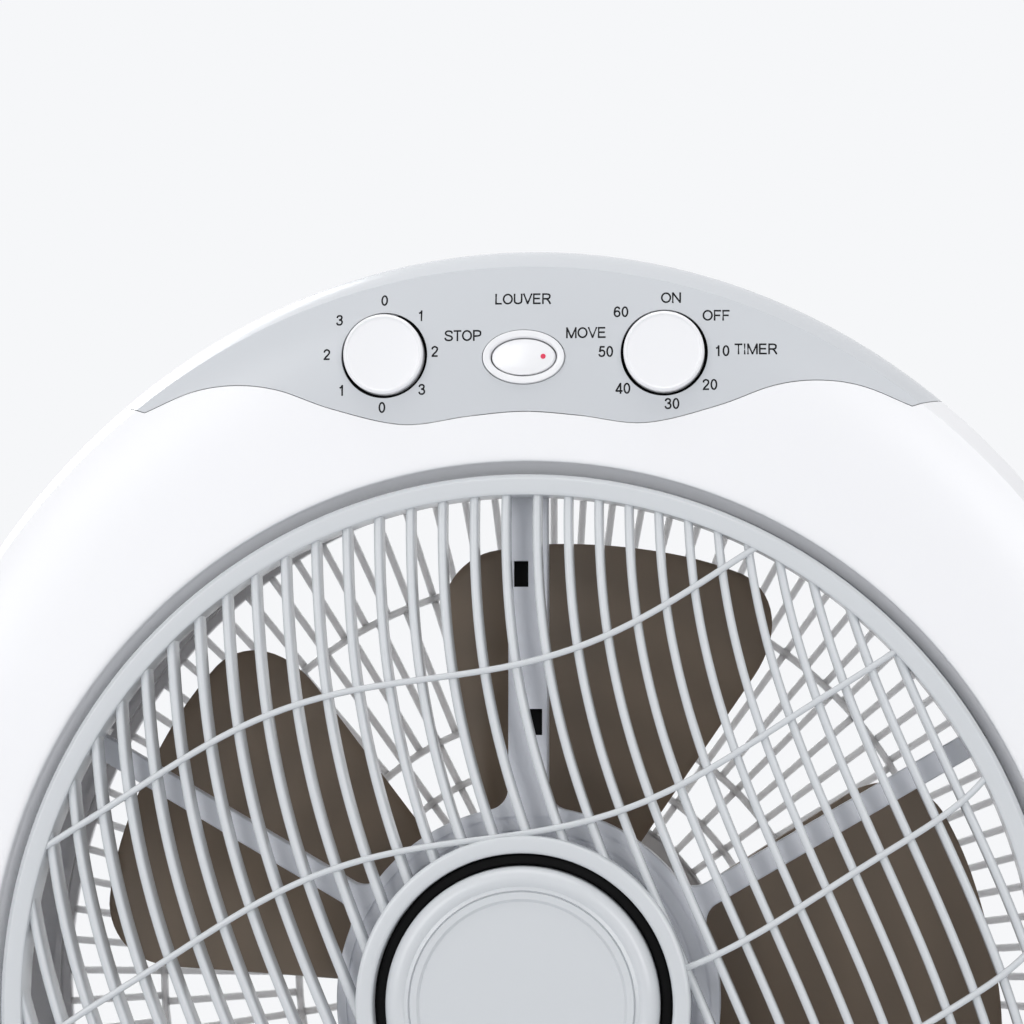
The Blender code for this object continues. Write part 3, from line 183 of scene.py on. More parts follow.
class ColourSettings(bpy.types.PropertyGroup):
    housing: colour_setting("Housing", "F2F2F4", "White ABS of the housing")
    panel: colour_setting("Panel", "CACDD1", "Grey ABS of the control panel")
    louver: colour_setting("Louver", "D1D4D7", "Grey ABS of the louver wheel")
    carrier: colour_setting("Carrier", "F2F4FA", "Bluish grey polypropylene of the carrier")
    # The bars' white is painted lighter than the housing's white, which the grille's own rim and
    # plate wear: a painted lift against the shade on the bars.
    grille: colour_setting("Grille", "FAFAFB", "White ABS of the rear grille's thin bars")
    blade: colour_setting("Blade", "80705F", "Smoked polypropylene of the blades")
    # The black also colours wire_cover, so that the carrier's wire holes show dark.
    black: colour_setting("Black", "070708", "Black ABS of the trim ring and the inner cases")
    rubber: colour_setting("Rubber", "1C1C1E", "Black rubber of the feet's pads")
    ink: colour_setting("Ink", "0E0E11", "Pad-printed ink of the lettering")
    mark: colour_setting("Mark", "D80A46", "Red ABS of the rocker's mark")


GROUPS = {
    "fan_housing": HousingSettings,
    "fan_louver": LouverSettings,
    "fan_grille": GrilleSettings,
    "fan_blades": BladeSettings,
    "fan_colours": ColourSettings,
}


# Materials

MATERIALS = {}
PLASTIC_IOR = 1.53
SMOKED_IOR = 1.5
SOAK_DEPTH = 0.008  # how far light soaks into a thin white bar
MOULD_GRAIN = 0.0007  # spark-eroded grain, drawn coarser than the real one
MOULD_HEIGHT = 0.000006
POLISHED_HEIGHT = 0.000002
# Scales of the wave node, whose lines lie 0.314 / scale metres apart.
FINE_LINES = 500.0
FLOW_LINES = 12.0
MATH = "ShaderNodeMath"
ADD = {"operation": "ADD"}
SUBTRACT = {"operation": "SUBTRACT"}
MULTIPLY = {"operation": "MULTIPLY"}
DIVIDE = {"operation": "DIVIDE"}
POWER = {"operation": "POWER"}
GREATER = {"operation": "GREATER_THAN"}
LESS = {"operation": "LESS_THAN"}
LARGEST = {"operation": "MAXIMUM"}
LENGTH = {"operation": "LENGTH"}


def add_node(tree, kind, settings=None, inputs=()):
    """Add a node, set its fields, and fill its inputs, which are listed or keyed by name.

    A socket is linked, a node stands for its first output, and the rest are plain values.
    """
    node = tree.nodes.new(kind)
    for field, value in (settings or {}).items():
        setattr(node, field, value)
    for key, value in inputs.items() if isinstance(inputs, dict) else enumerate(inputs):
        if isinstance(value, bpy.types.Node):
            value = value.outputs[0]
        if isinstance(value, bpy.types.NodeSocket):
            tree.links.new(value, node.inputs[key])
        else:
            node.inputs[key].default_value = value
    return node


def new_material(name, **values):
    """A Principled material, its constants on the shader's own sockets, and its object point."""
    material = bpy.data.materials.new(name)
    material.use_nodes = True
    tree = material.node_tree
    shader = tree.nodes["Principled BSDF"]
    for socket, value in values.items():
        shader.inputs[socket.replace("_", " ")].default_value = value
    return material, tree, shader, add_node(tree, "ShaderNodeTexCoord").outputs["Object"]


def set_stops(ramp, low, high, ends=(0.0, 1.0)):
    """Set the two colours of a ramp and where they lie, and give its colour output."""
    for element, end, colour in zip(ramp.color_ramp.elements, ends, (low, high)):
        element.position = end
        element.color = (*[min(1.0, c) for c in colour[:3]], 1.0)
    return ramp.outputs["Color"]


def tint(tree, shader, point, base, spread, patch):
    """Vary the colour slowly, over patches so many metres across."""
    noise = {"Vector": point, "Scale": 1.0 / patch, "Detail": 2.0, "Roughness": 0.5}
    noise = add_node(tree, "ShaderNodeTexNoise", None, noise)
    ramp = add_node(tree, "ShaderNodeValToRGB", None, {"Fac": noise})
    low, high = ([c * (1.0 + side * spread) for c in base[:3]] for side in (-1.0, 1.0))
    tree.links.new(set_stops(ramp, low, high, (0.3, 0.7)), shader.inputs["Base Color"])


def vary_gloss(tree, shader, point, low, high, patch):
    """Vary the roughness between two values, over patches so many metres across."""
    noise = {"Vector": point, "Scale": 1.0 / patch, "Detail": 3.0, "Roughness": 0.6}
    noise = add_node(tree, "ShaderNodeTexNoise", None, noise)
    rough = {"Value": noise, "From Min": 0.3, "From Max": 0.7, "To Min": low, "To Max": high}
    rough = add_node(tree, "ShaderNodeMapRange", None, rough)
    tree.links.new(rough.outputs["Result"], shader.inputs["Roughness"])


def raise_grain(tree, shader, point, grain, height):
    """Bump the surface with grains so many metres across and high."""
    noise = {"Vector": point, "Scale": 1.0 / grain, "Detail": 2.0, "Roughness": 0.6}
    noise = add_node(tree, "ShaderNodeTexNoise", None, noise)
    bump = add_node(tree, "ShaderNodeBump", None, {"Height": noise, "Distance": height})
    tree.links.new(bump.outputs["Normal"], shader.inputs["Normal"])


def draw_lines(tree, shader, lines, low, high, height):
    """Colour a pattern of lines from one tone to another, and raise it so many metres."""
    ramp = add_node(tree, "ShaderNodeValToRGB", None, {"Fac": lines})
    tree.links.new(set_stops(ramp, linear(low), linear(high)), shader.inputs["Base Color"])
    bump = add_node(tree, "ShaderNodeBump", None, {"Height": lines, "Distance": height})
    tree.links.new(bump.outputs["Normal"], shader.inputs["Normal"])


def hub_rings(tree, point, scale, distortion, detail):
    """A pattern of rings round the hub axis."""
    place = {"Vector": point, "Location": (0.0, -FRONT_Y, -HUB_Z)}
    centred = add_node(tree, "ShaderNodeMapping", None, place)
    rings = {"wave_type": "RINGS", "rings_direction": "Y"}
    values = {"Vector": centred, "Scale": scale, "Distortion": distortion, "Detail": detail}
    return add_node(tree, "ShaderNodeTexWave", rings, values).outputs["Fac"]


def moulded_plastic(
    name, colour, roughness, height=MOULD_HEIGHT, spread=0.004, shine=0.5, soak=0.0
):
    """Injection-moulded plastic: an even colour, and a faint sparked skin that softens its gloss.

    Soak lets light from behind come through thin bars.
    """
    material, tree, shader, point = new_material(
        name,
        IOR=PLASTIC_IOR,
        Specular_IOR_Level=shine,
        Subsurface_Weight=soak,
        Subsurface_Scale=SOAK_DEPTH,
        Subsurface_Radius=(1.0, 1.0, 1.0),
    )
    tint(tree, shader, point, colour, spread, 0.06)
    vary_gloss(tree, shader, point, roughness * 0.97, roughness * 1.03, 0.02)
    raise_grain(tree, shader, point, MOULD_GRAIN, height)
    return material


def smoked_blade(colour):
    """Smoked polypropylene: dark brown grey, with faint flow rings running out from the gate."""
    material, tree, shader, point = new_material("smoked_polypropylene", IOR=SMOKED_IOR)
    rings = hub_rings(tree, point, FLOW_LINES, 2.0, 2.0)
    ramp = add_node(tree, "ShaderNodeValToRGB", None, {"Fac": rings})
    low, high = ([c * share for c in colour] for share in (0.98, 1.10))
    tree.links.new(set_stops(ramp, low, high), shader.inputs["Base Color"])
    vary_gloss(tree, shader, point, 0.34, 0.46, 0.03)
    raise_grain(tree, shader, point, 0.002, 0.000015)
    return material


def bare_metal(name, colour, spread, patch, gloss, gloss_patch, grain, height):
    """Metal with a mottled colour and gloss, and a skin whose grain is so many metres across."""
    material, tree, shader, point = new_material(name, Metallic=1.0)
    tint(tree, shader, point, linear(colour), spread, patch)
    vary_gloss(tree, shader, point, *gloss, gloss_patch)
    raise_grain(tree, shader, point, grain, height)
    return material


def stacked_laminations():
    """Blued steel sheets about 0.6 mm thick, seen as fine lines round the stack."""
    material, tree, shader, point = new_material(
        "stacked_laminations", Metallic=1.0, Roughness=0.5
    )
    bands = {"wave_type": "BANDS", "bands_direction": "Y"}
    values = {"Vector": point, "Scale": FINE_LINES, "Distortion": 0.0}
    lines = add_node(tree, "ShaderNodeTexWave", bands, values).outputs["Fac"]
    draw_lines(tree, shader, lines, "4A4D52", "7E8288", 0.0001)
    return material


def wound_copper():
    """Enamelled copper wire about 0.6 mm thick, wound side by side: glossy reddish rings."""
    material, tree, shader, point = new_material(
        "enamelled_copper_wire", Metallic=1.0, Roughness=0.32
    )
    rings = hub_rings(tree, point, FINE_LINES, 0.6, 1.0)
    draw_lines(tree, shader, rings, "7A3A1C", "C8743E", 0.0002)
    return material


def make_materials():
    colours = bpy.context.scene.fan_colours
    MATERIALS.update(
        # Moulded ABS in a satin mould: an even white with a soft, wide shine.
        housing=moulded_plastic("moulded_white_abs", colours.housing, 0.30),
        # The same in light grey, a little glossier, so that its rounded top catches a soft band.
        panel=moulded_plastic("moulded_grey_abs", colours.panel, 0.26),
        # Slim slats from a smooth mould: their round edges each catch a thin light line.
        louver=moulded_plastic("moulded_louver_abs", colours.louver, 0.24),
        # Moulded polypropylene: waxier and duller than the ABS, with a cool cast.
        carrier=moulded_plastic("moulded_carrier_pp", colours.carrier, 0.38),
        # Thin white ABS bars that the light from behind soaks through, so that they stay pale.
        # Their white is also painted lighter than the rim and plate of the same moulding, a painted
        # lift against the shade inside the housing.
        grille=moulded_plastic("thin_white_abs_painted_lighter", colours.grille, 0.35, soak=1.0),
        # Polished mould: the dials and the rocker shine more than the housing.
        dial=moulded_plastic("polished_white_abs", colours.housing, 0.16, POLISHED_HEIGHT),
        # Matt black ABS: deep, with hardly any shine.
        black=moulded_plastic("moulded_black_abs", colours.black, 0.45, spread=0.1, shine=0.10),
        # Moulded rubber: dull, soft black.
        rubber=moulded_plastic("moulded_black_rubber", colours.rubber, 0.75, spread=0.15),
        # Pad-printed ink: a thin, flat, near-black film.
        ink=moulded_plastic("pad_printed_ink", colours.ink, 0.5, spread=0.05, shine=0.15),
        # Red ABS moulded in as the rocker's mark: clear and saturated.
        red=moulded_plastic("moulded_red_abs", colours.mark, 0.3, spread=0.02),
        blade=smoked_blade(colours.blade),
        # Zinc-plated steel: bright, with fine turning marks and slightly dull patches.
        screw=bare_metal(
            "zinc_plated_steel", "B9BBC0", 0.08, 0.004, (0.22, 0.40), 0.003, 0.0004, 0.000008
        ),
        # Die-cast aluminium: dull silver with a fine sandy skin.
        cast=bare_metal(
            "cast_aluminium", "AEB1B5", 0.07, 0.01, (0.38, 0.55), 0.006, 0.0012, 0.00004
        ),
        laminations=stacked_laminations(),
        copper=wound_copper(),
        # Oil-filled sintered bronze: warm, open-grained and satin.
        bronze=bare_metal(
            "sintered_bronze", "9C7A4C", 0.12, 0.0015, (0.4, 0.6), 0.002, 0.0003, 0.00002
        ),
    )


# Meshes


def new_object(name, mesh):
    obj = bpy.data.objects.new(name, mesh)
    bpy.context.scene.collection.objects.link(obj)
    return obj


def mesh_object(name, bm):
    mesh = bpy.data.meshes.new(name)
    bm.to_mesh(mesh)
    bm.free()
    return new_object(name, mesh)


def face_outwards(bm, merge=True):
    """Turn a mesh's faces outwards, after its doubles are merged."""
    if merge:
        bmesh.ops.remove_doubles(bm, verts=bm.verts, dist=MERGE_DISTANCE)
    bmesh.ops.recalc_face_normals(bm, faces=bm.faces)


def clean(obj, merge=True):
    """Turn an object's own faces outwards."""
    bm = bmesh.new()
    bm.from_mesh(obj.data)
    face_outwards(bm, merge)
    bm.to_mesh(obj.data)
    bm.free()
    return obj


def bake(obj):
    """Make the object's evaluated shape its plain mesh."""
    bpy.context.view_layer.update()
    evaluated = obj.evaluated_get(bpy.context.evaluated_depsgraph_get())
    mesh = bpy.data.meshes.new_from_object(evaluated)
    obj.modifiers.clear()
    if obj.type == "MESH":
        obj.data = mesh
        return obj
    name = obj.name
    bpy.data.objects.remove(obj, do_unlink=True)
    return new_object(name, mesh)


def put_in_place(obj):
    """Turn a mesh drawn in the front frame upright, into its place in the world."""
    obj.data.transform(TO_FRONT)
    return obj


def dress(obj, material, body, *nodes, angle=SHARP_ANGLE):
    """Shade a finished mesh, give it its material, and hang it on its body."""
    mesh = obj.data
    mesh.polygons.foreach_set("use_smooth", [True] * len(mesh.polygons))
    mesh.set_sharp_from_angle(angle=math.radians(angle))
    mesh.materials.clear()
    mesh.materials.append(MATERIALS[material])
    if nodes:
        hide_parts(*nodes)
    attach(obj, body)


def set_up(obj, material, body, *nodes, angle=SHARP_ANGLE):
    """Put a mesh drawn in the front frame in its place, and dress it."""
    dress(put_in_place(obj), material, body, *nodes, angle=angle)


def soften(profile, radius, steps=4, closed=False):
    """Round the corners of a profile of (radius, depth) points."""
    points = [Vector(p) for p in profile]
    count = len(points)
    out = []
    for i, corner in enumerate(points):
        if not closed and i in (0, count - 1):
            out.append(corner)
            continue
        before, after = points[i - 1], points[(i + 1) % count]
        reach = min(radius, (before - corner).length * 0.45, (after - corner).length * 0.45)
        start = corner + (before - corner).normalized() * reach
        end = corner + (after - corner).normalized() * reach
        for k in range(steps + 1):
            t = k / steps
            out.append(start * (1 - t) ** 2 + corner * (2 * t * (1 - t)) + end * t**2)
    return [tuple(p) for p in out]


def loft(name, rings, closed=False, inward=False):
    """Join rings of points, each a loop or one pole, with faces from ring to ring."""
    bm = bmesh.new()
    rows = [[bm.verts.new(point) for point in ring] for ring in rings]
    steps = max(len(row) for row in rows)
    for near, far in zip(rows, rows[1:] + rows[: 1 if closed else 0]):
        for k in range(steps):
            n = (k + 1) % steps
            face = [near[k % len(near)], near[n % len(near)], far[n % len(far)], far[k % len(far)]]
            if inward:
                face = face[:1] + face[:0:-1]
            bm.faces.new(list(dict.fromkeys(face)))
    return mesh_object(name, bm)


def turns(steps):
    """Evenly spaced angles once round."""
    return [math.tau * k / steps for k in range(steps)]


def oval(wide, tall, centre, depth, angles):
    """Points round an oval of two half sizes."""
    return [
        (centre[0] + wide * math.cos(a), centre[1] + tall * math.sin(a), -depth) for a in angles
    ]


def turned(name, profile, closed=False, steps=ROUND_STEPS, centre=(0.0, 0.0), scale=(1.0, 1.0)):
    """Turn a profile of (radius, depth) points about the depth axis through centre."""
    angles = turns(steps)
    rings = []
    for radius, depth in profile:
        if radius < POLE_RADIUS:
            rings.append([(*centre, -depth)])
            continue
        rings.append(oval(radius * scale[0], radius * scale[1], centre, depth, angles))
    return clean(loft(name, rings, closed))


def ring_profile(inner, outer, front, back):
    return [(inner, front), (outer, front), (outer, back), (inner, back)]


def round_ring(name, inner, outer, front, back, soft):
    """A plain ring with softened edges."""
    profile = soften(ring_profile(inner, outer, front, back), soft, closed=True)
    return turned(name, profile, closed=True, steps=SHELL_STEPS)


def polar(radius, angle):
    return (radius * math.cos(angle), radius * math.sin(angle))


def arc(radius, start, end, steps):
    return [polar(radius, start + (end - start) * k / steps) for k in range(steps + 1)]


def smooth_through(points, steps):
    """Points on a Catmull-Rom curve through the given ones."""
    first = [2 * a - b for a, b in zip(points[0], points[1])]
    last = [2 * a - b for a, b in zip(points[-1], points[-2])]
    knots = [Vector(p) for p in (first, *points, last)]
    path = []
    for a, b, c, d in zip(knots, knots[1:], knots[2:], knots[3:]):
        for k in range(steps):
            t = k / steps
            bend = 2 * b + (c - a) * t + (2 * a - 5 * b + 4 * c - d) * t**2
            path.append(tuple((bend + (3 * b - a - 3 * c + d) * t**3) / 2))
    path.append(tuple(points[-1]))
    return path


def add_line(curve, path, closed=True):
    """Add a line through (x, up) points to a curve."""
    spline = curve.splines.new("POLY")
    spline.points.add(len(path) - 1)
    spline.use_cyclic_u = closed
    for point, (x, up) in zip(spline.points, path):
        point.co = (x, up, 0.0, 1.0)


def plate(name, outlines, front, back, edge=0.0):
    """A plate cut to closed outlines of (x, up) points, with softened edges."""
    curve = bpy.data.curves.new(name, "CURVE")
    curve.dimensions = "2D"
    curve.fill_mode = "BOTH"
    curve.extrude = (back - front) / 2 - edge
    curve.bevel_depth = edge
    curve.bevel_resolution = 2 if edge else 0
    curve.offset = -edge
    for outline in outlines:
        add_line(curve, outline)
    obj = clean(bake(new_object(name, curve)))
    obj.data.transform(Matrix.Translation((0.0, 0.0, -(front + back) / 2)))
    return obj


def block(name, low, high):
    """A box between two (x, up, depth) corners."""
    bm = bmesh.new()
    size = [h - l for l, h in zip(low, high)]
    middle = [(h + l) / 2 for l, h in zip(low, high)]
    place = Matrix.Translation((middle[0], middle[1], -middle[2]))
    bmesh.ops.create_cube(bm, size=1.0, matrix=place @ Matrix.Diagonal((*size, 1.0)))
    return mesh_object(name, bm)


def node_block(name, node, gap, back):
    """A box round a node, past it by gap on each side but the back, which is given."""
    low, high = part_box(node)
    front_corner = (low.x - gap, low.z - HUB_Z - gap, low.y - FRONT_Y - gap)
    return block(name, front_corner, (high.x + gap, high.z - HUB_Z + gap, back))


def rods(name, centres, radius, front, back, steps=SMALL_STEPS):
    """Round rods along the depth axis."""
    bm = bmesh.new()
    for x, up in centres:
        place = Matrix.Translation((x, up, -(front + back) / 2))
        bmesh.ops.create_cone(
            bm,
            cap_ends=True,
            segments=steps,
            radius1=radius,
            radius2=radius,
            depth=back - front,
            matrix=place,
        )
    return mesh_object(name, bm)


def combine(target, tools, operation="DIFFERENCE"):
    """Cut, join or intersect the target with each tool, and keep only the target."""
    for tool in tools:
        modifier = target.modifiers.new(tool.name, "BOOLEAN")
        modifier.operation = operation
        modifier.object = tool
    bake(target)
    for tool in tools:
        bpy.data.objects.remove(tool, do_unlink=True)


def thicken(obj, thickness, offset=-1.0, even=True):
    """Give a surface a wall, behind it or, with no offset, to both of its sides."""
    wall = obj.modifiers.new("Wall", "SOLIDIFY")
    wall.thickness = thickness
    wall.offset = offset
    wall.use_even_offset = even
    return bake(obj)


def bevel(obj, width, segments=2, angle=40.0):
    modifier = obj.modifiers.new("Edges", "BEVEL")
    modifier.width = width
    modifier.segments = segments
    modifier.limit_method = "ANGLE"
    modifier.angle_limit = math.radians(angle)
    modifier.use_clamp_overlap = True
    return bake(obj)


# Housing

UPPER_ROUNDNESS = 2.0
LOWER_ROUNDNESS = 2.5
# The opening's lip as (widening, depth): a sunk slope beside the louver ring, a wall, a round.
LIP_ROWS = (
    (-0.0037, 0.0125),
    (-0.0001, 0.0066),
    (0.0000, 0.0061),
    (0.0000, 0.0030),
    (0.0000, 0.0013),
    (0.0002, 0.0007),
    (0.0006, 0.0003),
    (0.0012, 0.0001),
    (0.0020, 0.0000),
    (0.0040, 0.0000),
)
# The front face as (share of the way to the outline, share of the rounding's depth).
FACE_START = (0.10, 0.18, 0.30)
FACE_ROWS = (
    (0.440, 0.000),
    (0.500, 0.002),
    (0.600, 0.009),
    (0.680, 0.024),
    (0.740, 0.046),
    (0.800, 0.072),
    (0.845, 0.100),
    (0.881, 0.120),
    (0.908, 0.212),
    (0.938, 0.335),
    (0.965, 0.478),
    (0.985, 0.650),
    (0.996, 0.820),
    (1.000, 1.000),
)
# The rear shell as (share of the way to the outline, share of its depth).
REAR_ROUNDING = (
    (1.000, 0.003),
    (1.000, 0.25),
    (0.985, 0.52),
    (0.935, 0.73),
    (0.820, 0.87),
    (0.600, 0.955),
    (0.300, 0.995),
    (0.030, 1.000),
)
REAR_STEPS = 6
REAR_LIP_LENGTH = 0.008
REAR_LIP_PROUD = 0.0005
LUG_REACH = 0.0088
LUG_WIDTH = 0.012
LUG_LENGTH = 0.010
# The panel's lower edge from the middle outwards, as (x, up).
PANEL_WAVE = (
    (0.000, 0.2128),
    (0.020, 0.2112),
    (0.044, 0.2083),
    (0.070, 0.2142),
    (0.090, 0.2213),
    (0.106, 0.2233),
    (0.122, 0.2212),
    (0.140, 0.2138),
)
PANEL_STEPS = 8
PANEL_END_RISE = 0.0360
WELL_ANGLES = (35.0, 145.0, 219.0, 321.0)
WELL_RADIUS = 0.0065
WELL_BORE = 0.0045
WELL_FLOOR = 0.0027
GLAND_HOLE = 0.0070
GLAND_HOLE_FRONT = 0.15
KNOB_RADIUS = 0.0146
KNOB_GAP = 0.0012
BEZEL_GAP = 0.0003


def outline_radius(angle):
    """The housing's egg outline: an ellipse above the hub, squarer below it."""
    sizes = bpy.context.scene.fan_housing
    across = abs(math.cos(angle)) / sizes.half_width
    if math.sin(angle) >= 0.0:
        power, along = UPPER_ROUNDNESS, math.sin(angle) / sizes.rise
    else:
        power, along = LOWER_ROUNDNESS, -math.sin(angle) / sizes.drop
    return (across**power + along**power) ** (-1.0 / power)


def shell(name, base_radius, sections):
    """Loft rings from a round opening to the egg outline, and give them a wall.

    A section is (reach, blend, depth): reach is a plain widening of the opening, blend the share
    of the way to the outline.
    """
    angles = turns(SHELL_STEPS)
    rings = []
    for reach, blend, depth in sections:
        radii = [base_radius + reach + blend * (outline_radius(a) - base_radius) for a in angles]
        rings.append([(*polar(radius, a), -depth) for radius, a in zip(radii, angles)])
    return thicken(loft(name, rings, inward=True), bpy.context.scene.fan_housing.wall)


def face_sections():
    """Sections of the front face, from beside the lip to the seam."""
    sizes = bpy.context.scene.fan_housing
    rows = [(blend, 0.0) for blend in FACE_START]
    rows += [(blend, sizes.face_round * share) for blend, share in FACE_ROWS]
    rows += [(1.0, (sizes.face_round + sizes.parting) / 2), (1.0, sizes.parting)]
    return [(0.0, blend, depth) for blend, depth in rows]


def face_depth(x, up):
    """Depth of the rounded front face at a point."""
    sizes = bpy.context.scene.fan_housing
    outer = outline_radius(math.atan2(up, x))
    share = (math.hypot(x, up) - sizes.opening) / (outer - sizes.opening)
    blend = min(1.0, max(0.0, share))
    for (near, low), (far, high) in zip(FACE_ROWS, FACE_ROWS[1:]):
        if near <= blend <= far:
            return sizes.face_round * (low + (high - low) * (blend - near) / (far - near))
    return 0.0


def panel_prism(name, drop):
    """A prism behind the panel's outline, lowered by drop."""
    sizes = bpy.context.scene.fan_housing
    left = [(-x, up) for x, up in reversed(PANEL_WAVE[1:])]
    wave = [(x, up - drop) for x, up in smooth_through(left + list(PANEL_WAVE), PANEL_STEPS)]
    end_x, end_up = sizes.half_width, PANEL_WAVE[-1][1] + PANEL_END_RISE - drop
    top = sizes.rise + REACH
    outline = wave + [(end_x, end_up), (end_x, top), (-end_x, top), (-end_x, end_up)]
    return plate(name, [outline], -REACH, sizes.parting + REACH)


class FAN_OT_housing(bpy.types.Operator):
    """Build the white front and rear shells of the housing, and its duct"""

    bl_idname = "fan.housing"
    bl_label = "Housing shells"

    def execute(self, context):
        sizes = context.scene.fan_housing
        lip = [(reach, 0.0, depth) for reach, depth in LIP_ROWS]
        front = shell("housing_front", sizes.opening, lip + face_sections())
        combine(front, [panel_prism("panel_window", sizes.seam)])
        set_up(front, "housing", "housing", "front_shell")
        self.build_duct(sizes)
        self.build_rear(sizes)
        return {"FINISHED"}

    def build_duct(self, sizes):
        """The ring behind the front shell's lip, with three lugs for the carrier."""
        outer = sizes.opening + sizes.wall
        ring = round_ring("duct_wall", sizes.opening, outer, *depth_of("duct_ring"), FINE_EDGE)
        low, high = sizes.opening - LUG_REACH, sizes.opening + sizes.wall / 2
        front = depth_of("motor_carrier")[1] + sizes.seam
        back = front + LUG_LENGTH
        lugs = []
        for screw in numbered("carrier_screw", 3):
            x, up = centre_of(screw)
            lug = block("lug", (low, -LUG_WIDTH / 2, front), (high, LUG_WIDTH / 2, back))
            lug.data.transform(Matrix.Rotation(math.atan2(up, x), 4, "Z"))
            lugs.append(bevel(lug, EDGE))
        combine(ring, lugs, "UNION")
        set_up(ring, "housing", "housing", "duct_ring")

    def build_rear(self, sizes):
        """The rear shell, with wells for its screws, the grip's slot and the gland's hole."""
        start = sizes.parting + sizes.seam
        span = sizes.back - sizes.parting
        rows = smooth_through(REAR_ROUNDING, REAR_STEPS)
        sections = [(min(b, 1.0), sizes.parting + span * min(s, 1.0)) for b, s in rows]
        sections[0] = (1.0, start)
        sections += [(0.0, sizes.back + REAR_LIP_PROUD), (0.0, sizes.back - REAR_LIP_LENGTH)]
        rear = shell("housing_rear", sizes.rear_opening, [(0.0, *s) for s in sections])
        past = sizes.back + REACH
        angles = [math.radians(a) for a in WELL_ANGLES]
        places = [polar((sizes.rear_opening + outline_radius(a)) / 2, a) for a in angles]
        wells = rods("wells", places, WELL_RADIUS, start, sizes.back - sizes.wall * 2)
        combine(rear, [wells], "UNION")
        bores = rods("bores", places, WELL_BORE, start + WELL_FLOOR, past)
        slot = node_block("slot", "grip_tray", sizes.seam, past)
        gland = (0.0, centre_of("cord_gland")[1])
        hole = rods("hole", [gland], GLAND_HOLE, GLAND_HOLE_FRONT, past)
        combine(rear, [bores, slot, hole])
        set_up(rear, "housing", "housing", "rear_shell")


def bezel_halves():
    low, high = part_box("rocker_bezel")
    return (high.x - low.x) / 2, (high.z - low.z) / 2


class FAN_OT_control_panel(bpy.types.Operator):
    """Build the grey control panel set into the housing's top"""

    bl_idname = "fan.control_panel"
    bl_label = "Control panel"

    def execute(self, context):
        sizes = context.scene.fan_housing
        panel = shell("control_panel_skin", sizes.opening, face_sections())
        combine(panel, [panel_prism("panel_keep", 0.0)], "INTERSECT")
        knobs = [centre_of("speed_knob"), centre_of("timer_knob")]
        wide, tall = (half + BEZEL_GAP for half in bezel_halves())
        up = centre_of("rocker_bezel")[1]
        outline = [point[:2] for point in oval(wide, tall, (0.0, up), 0.0, turns(ROUND_STEPS))]
        holes = [
            rods("knob_holes", knobs, KNOB_RADIUS + KNOB_GAP, -REACH, REACH, ROUND_STEPS),
            plate("bezel_hole", [outline], -REACH, REACH),
        ]
        combine(panel, holes)
        set_up(panel, "panel", "housing", "control_panel")
        return {"FINISHED"}


# Louver wheel

RING_EDGE = 0.0008
RING_DISH = 0.0004
RING_SHOULDER = 0.0017
HUB_FLOOR_FRONT = 0.011
HUB_FLOOR = 0.0025
HUB_BOSS_RADIUS = 0.008
HUB_BOSS_LENGTH = 0.004
HUB_BORE = 0.0034
HUB_SOFT = 0.0016
RIB_FRONT = 0.0012
RIB_LENGTH = 0.0036
RIB_COUNT = 5
SLAT_SAMPLES = 150
RIB_SAMPLES = 190
BAR_ROUNDING = 0.45  # radius of a bar's corners, as a share of its width
CORNER_STEPS = 4
CROSSING = 1e-5  # an edge that runs farther sideways than this joins two bars
BAR_SHARP_ANGLE = 50.0
GRID_REACH = 2.1  # length of the lines before they are trimmed, in outer radii
# A slat's curve: (power of its place, power of the way along it, metres), both ways counted in
# units of SLAT_UNIT.
SLAT_UNIT = 0.1
SLAT_BEND = (
    (0, 0, 0.000791),
    (0, 1, -0.013029),
    (0, 3, 0.007302),
    (1, 2, 0.000827),
    (2, 1, 0.000439),
    (3, 0, -0.000025),
    (2, 3, 0.000101),
    (1, 4, 0.000293),
    (0, 5, -0.000538),
    (3, 2, -0.001646),
)
# A rib's curve: (name of the term, power of the way along it, factor).
RIB_BEND = (
    ("First", 1, -0.16037),
    ("Third", 3, 29.524),
    ("Fifth", 5, -1117.7),
    ("Seventh", 7, 16019.5),
)


def new_geometry_tree(name, numbers):
    """A Geometry Nodes tree with one geometry in and out and named number inputs."""
    tree = bpy.data.node_groups.new(name, "GeometryNodeTree")
    sockets = tree.interface.new_socket
    sockets(name="Geometry", in_out="INPUT", socket_type="NodeSocketGeometry")
    for label, value in numbers.items():
        kind = "NodeSocketInt" if isinstance(value, int) else "NodeSocketFloat"
        sockets(name=label, in_out="INPUT", socket_type=kind).default_value = value
    sockets(name="Material", in_out="INPUT", socket_type="NodeSocketMaterial")
    sockets(name="Geometry", in_out="OUTPUT", socket_type="NodeSocketGeometry")
    return tree, tree.nodes.new("NodeGroupInput").outputs


def close_tree(tree, geometry, given):
    """Realize the shape, give it its material, and put it out."""
    real = add_node(tree, "GeometryNodeRealizeInstances", None, (geometry,))
    coated = add_node(
        tree, "GeometryNodeSetMaterial", None, {"Geometry": real, "Material": given["Material"]}
    )
    add_node(tree, "NodeGroupOutput", None, (coated,))


def close_upright(tree, geometry, depth, given):
    """Sink a shape drawn flat in the front frame to its depth, turn it upright and put it out."""
    lift = add_node(tree, MATH, MULTIPLY, (depth, -1))
    move = add_node(tree, "ShaderNodeCombineXYZ", None, {"Z": lift})
    sunk = {"Geometry": geometry, "Translation": move}
    sunk = add_node(tree, "GeometryNodeTransform", None, sunk)
    placed = {"Geometry": sunk, "Translation": (0.0, FRONT_Y, HUB_Z)}
    placed["Rotation"] = (math.pi / 2, 0.0, 0.0)
    close_tree(tree, add_node(tree, "GeometryNodeTransform", None, placed), given)


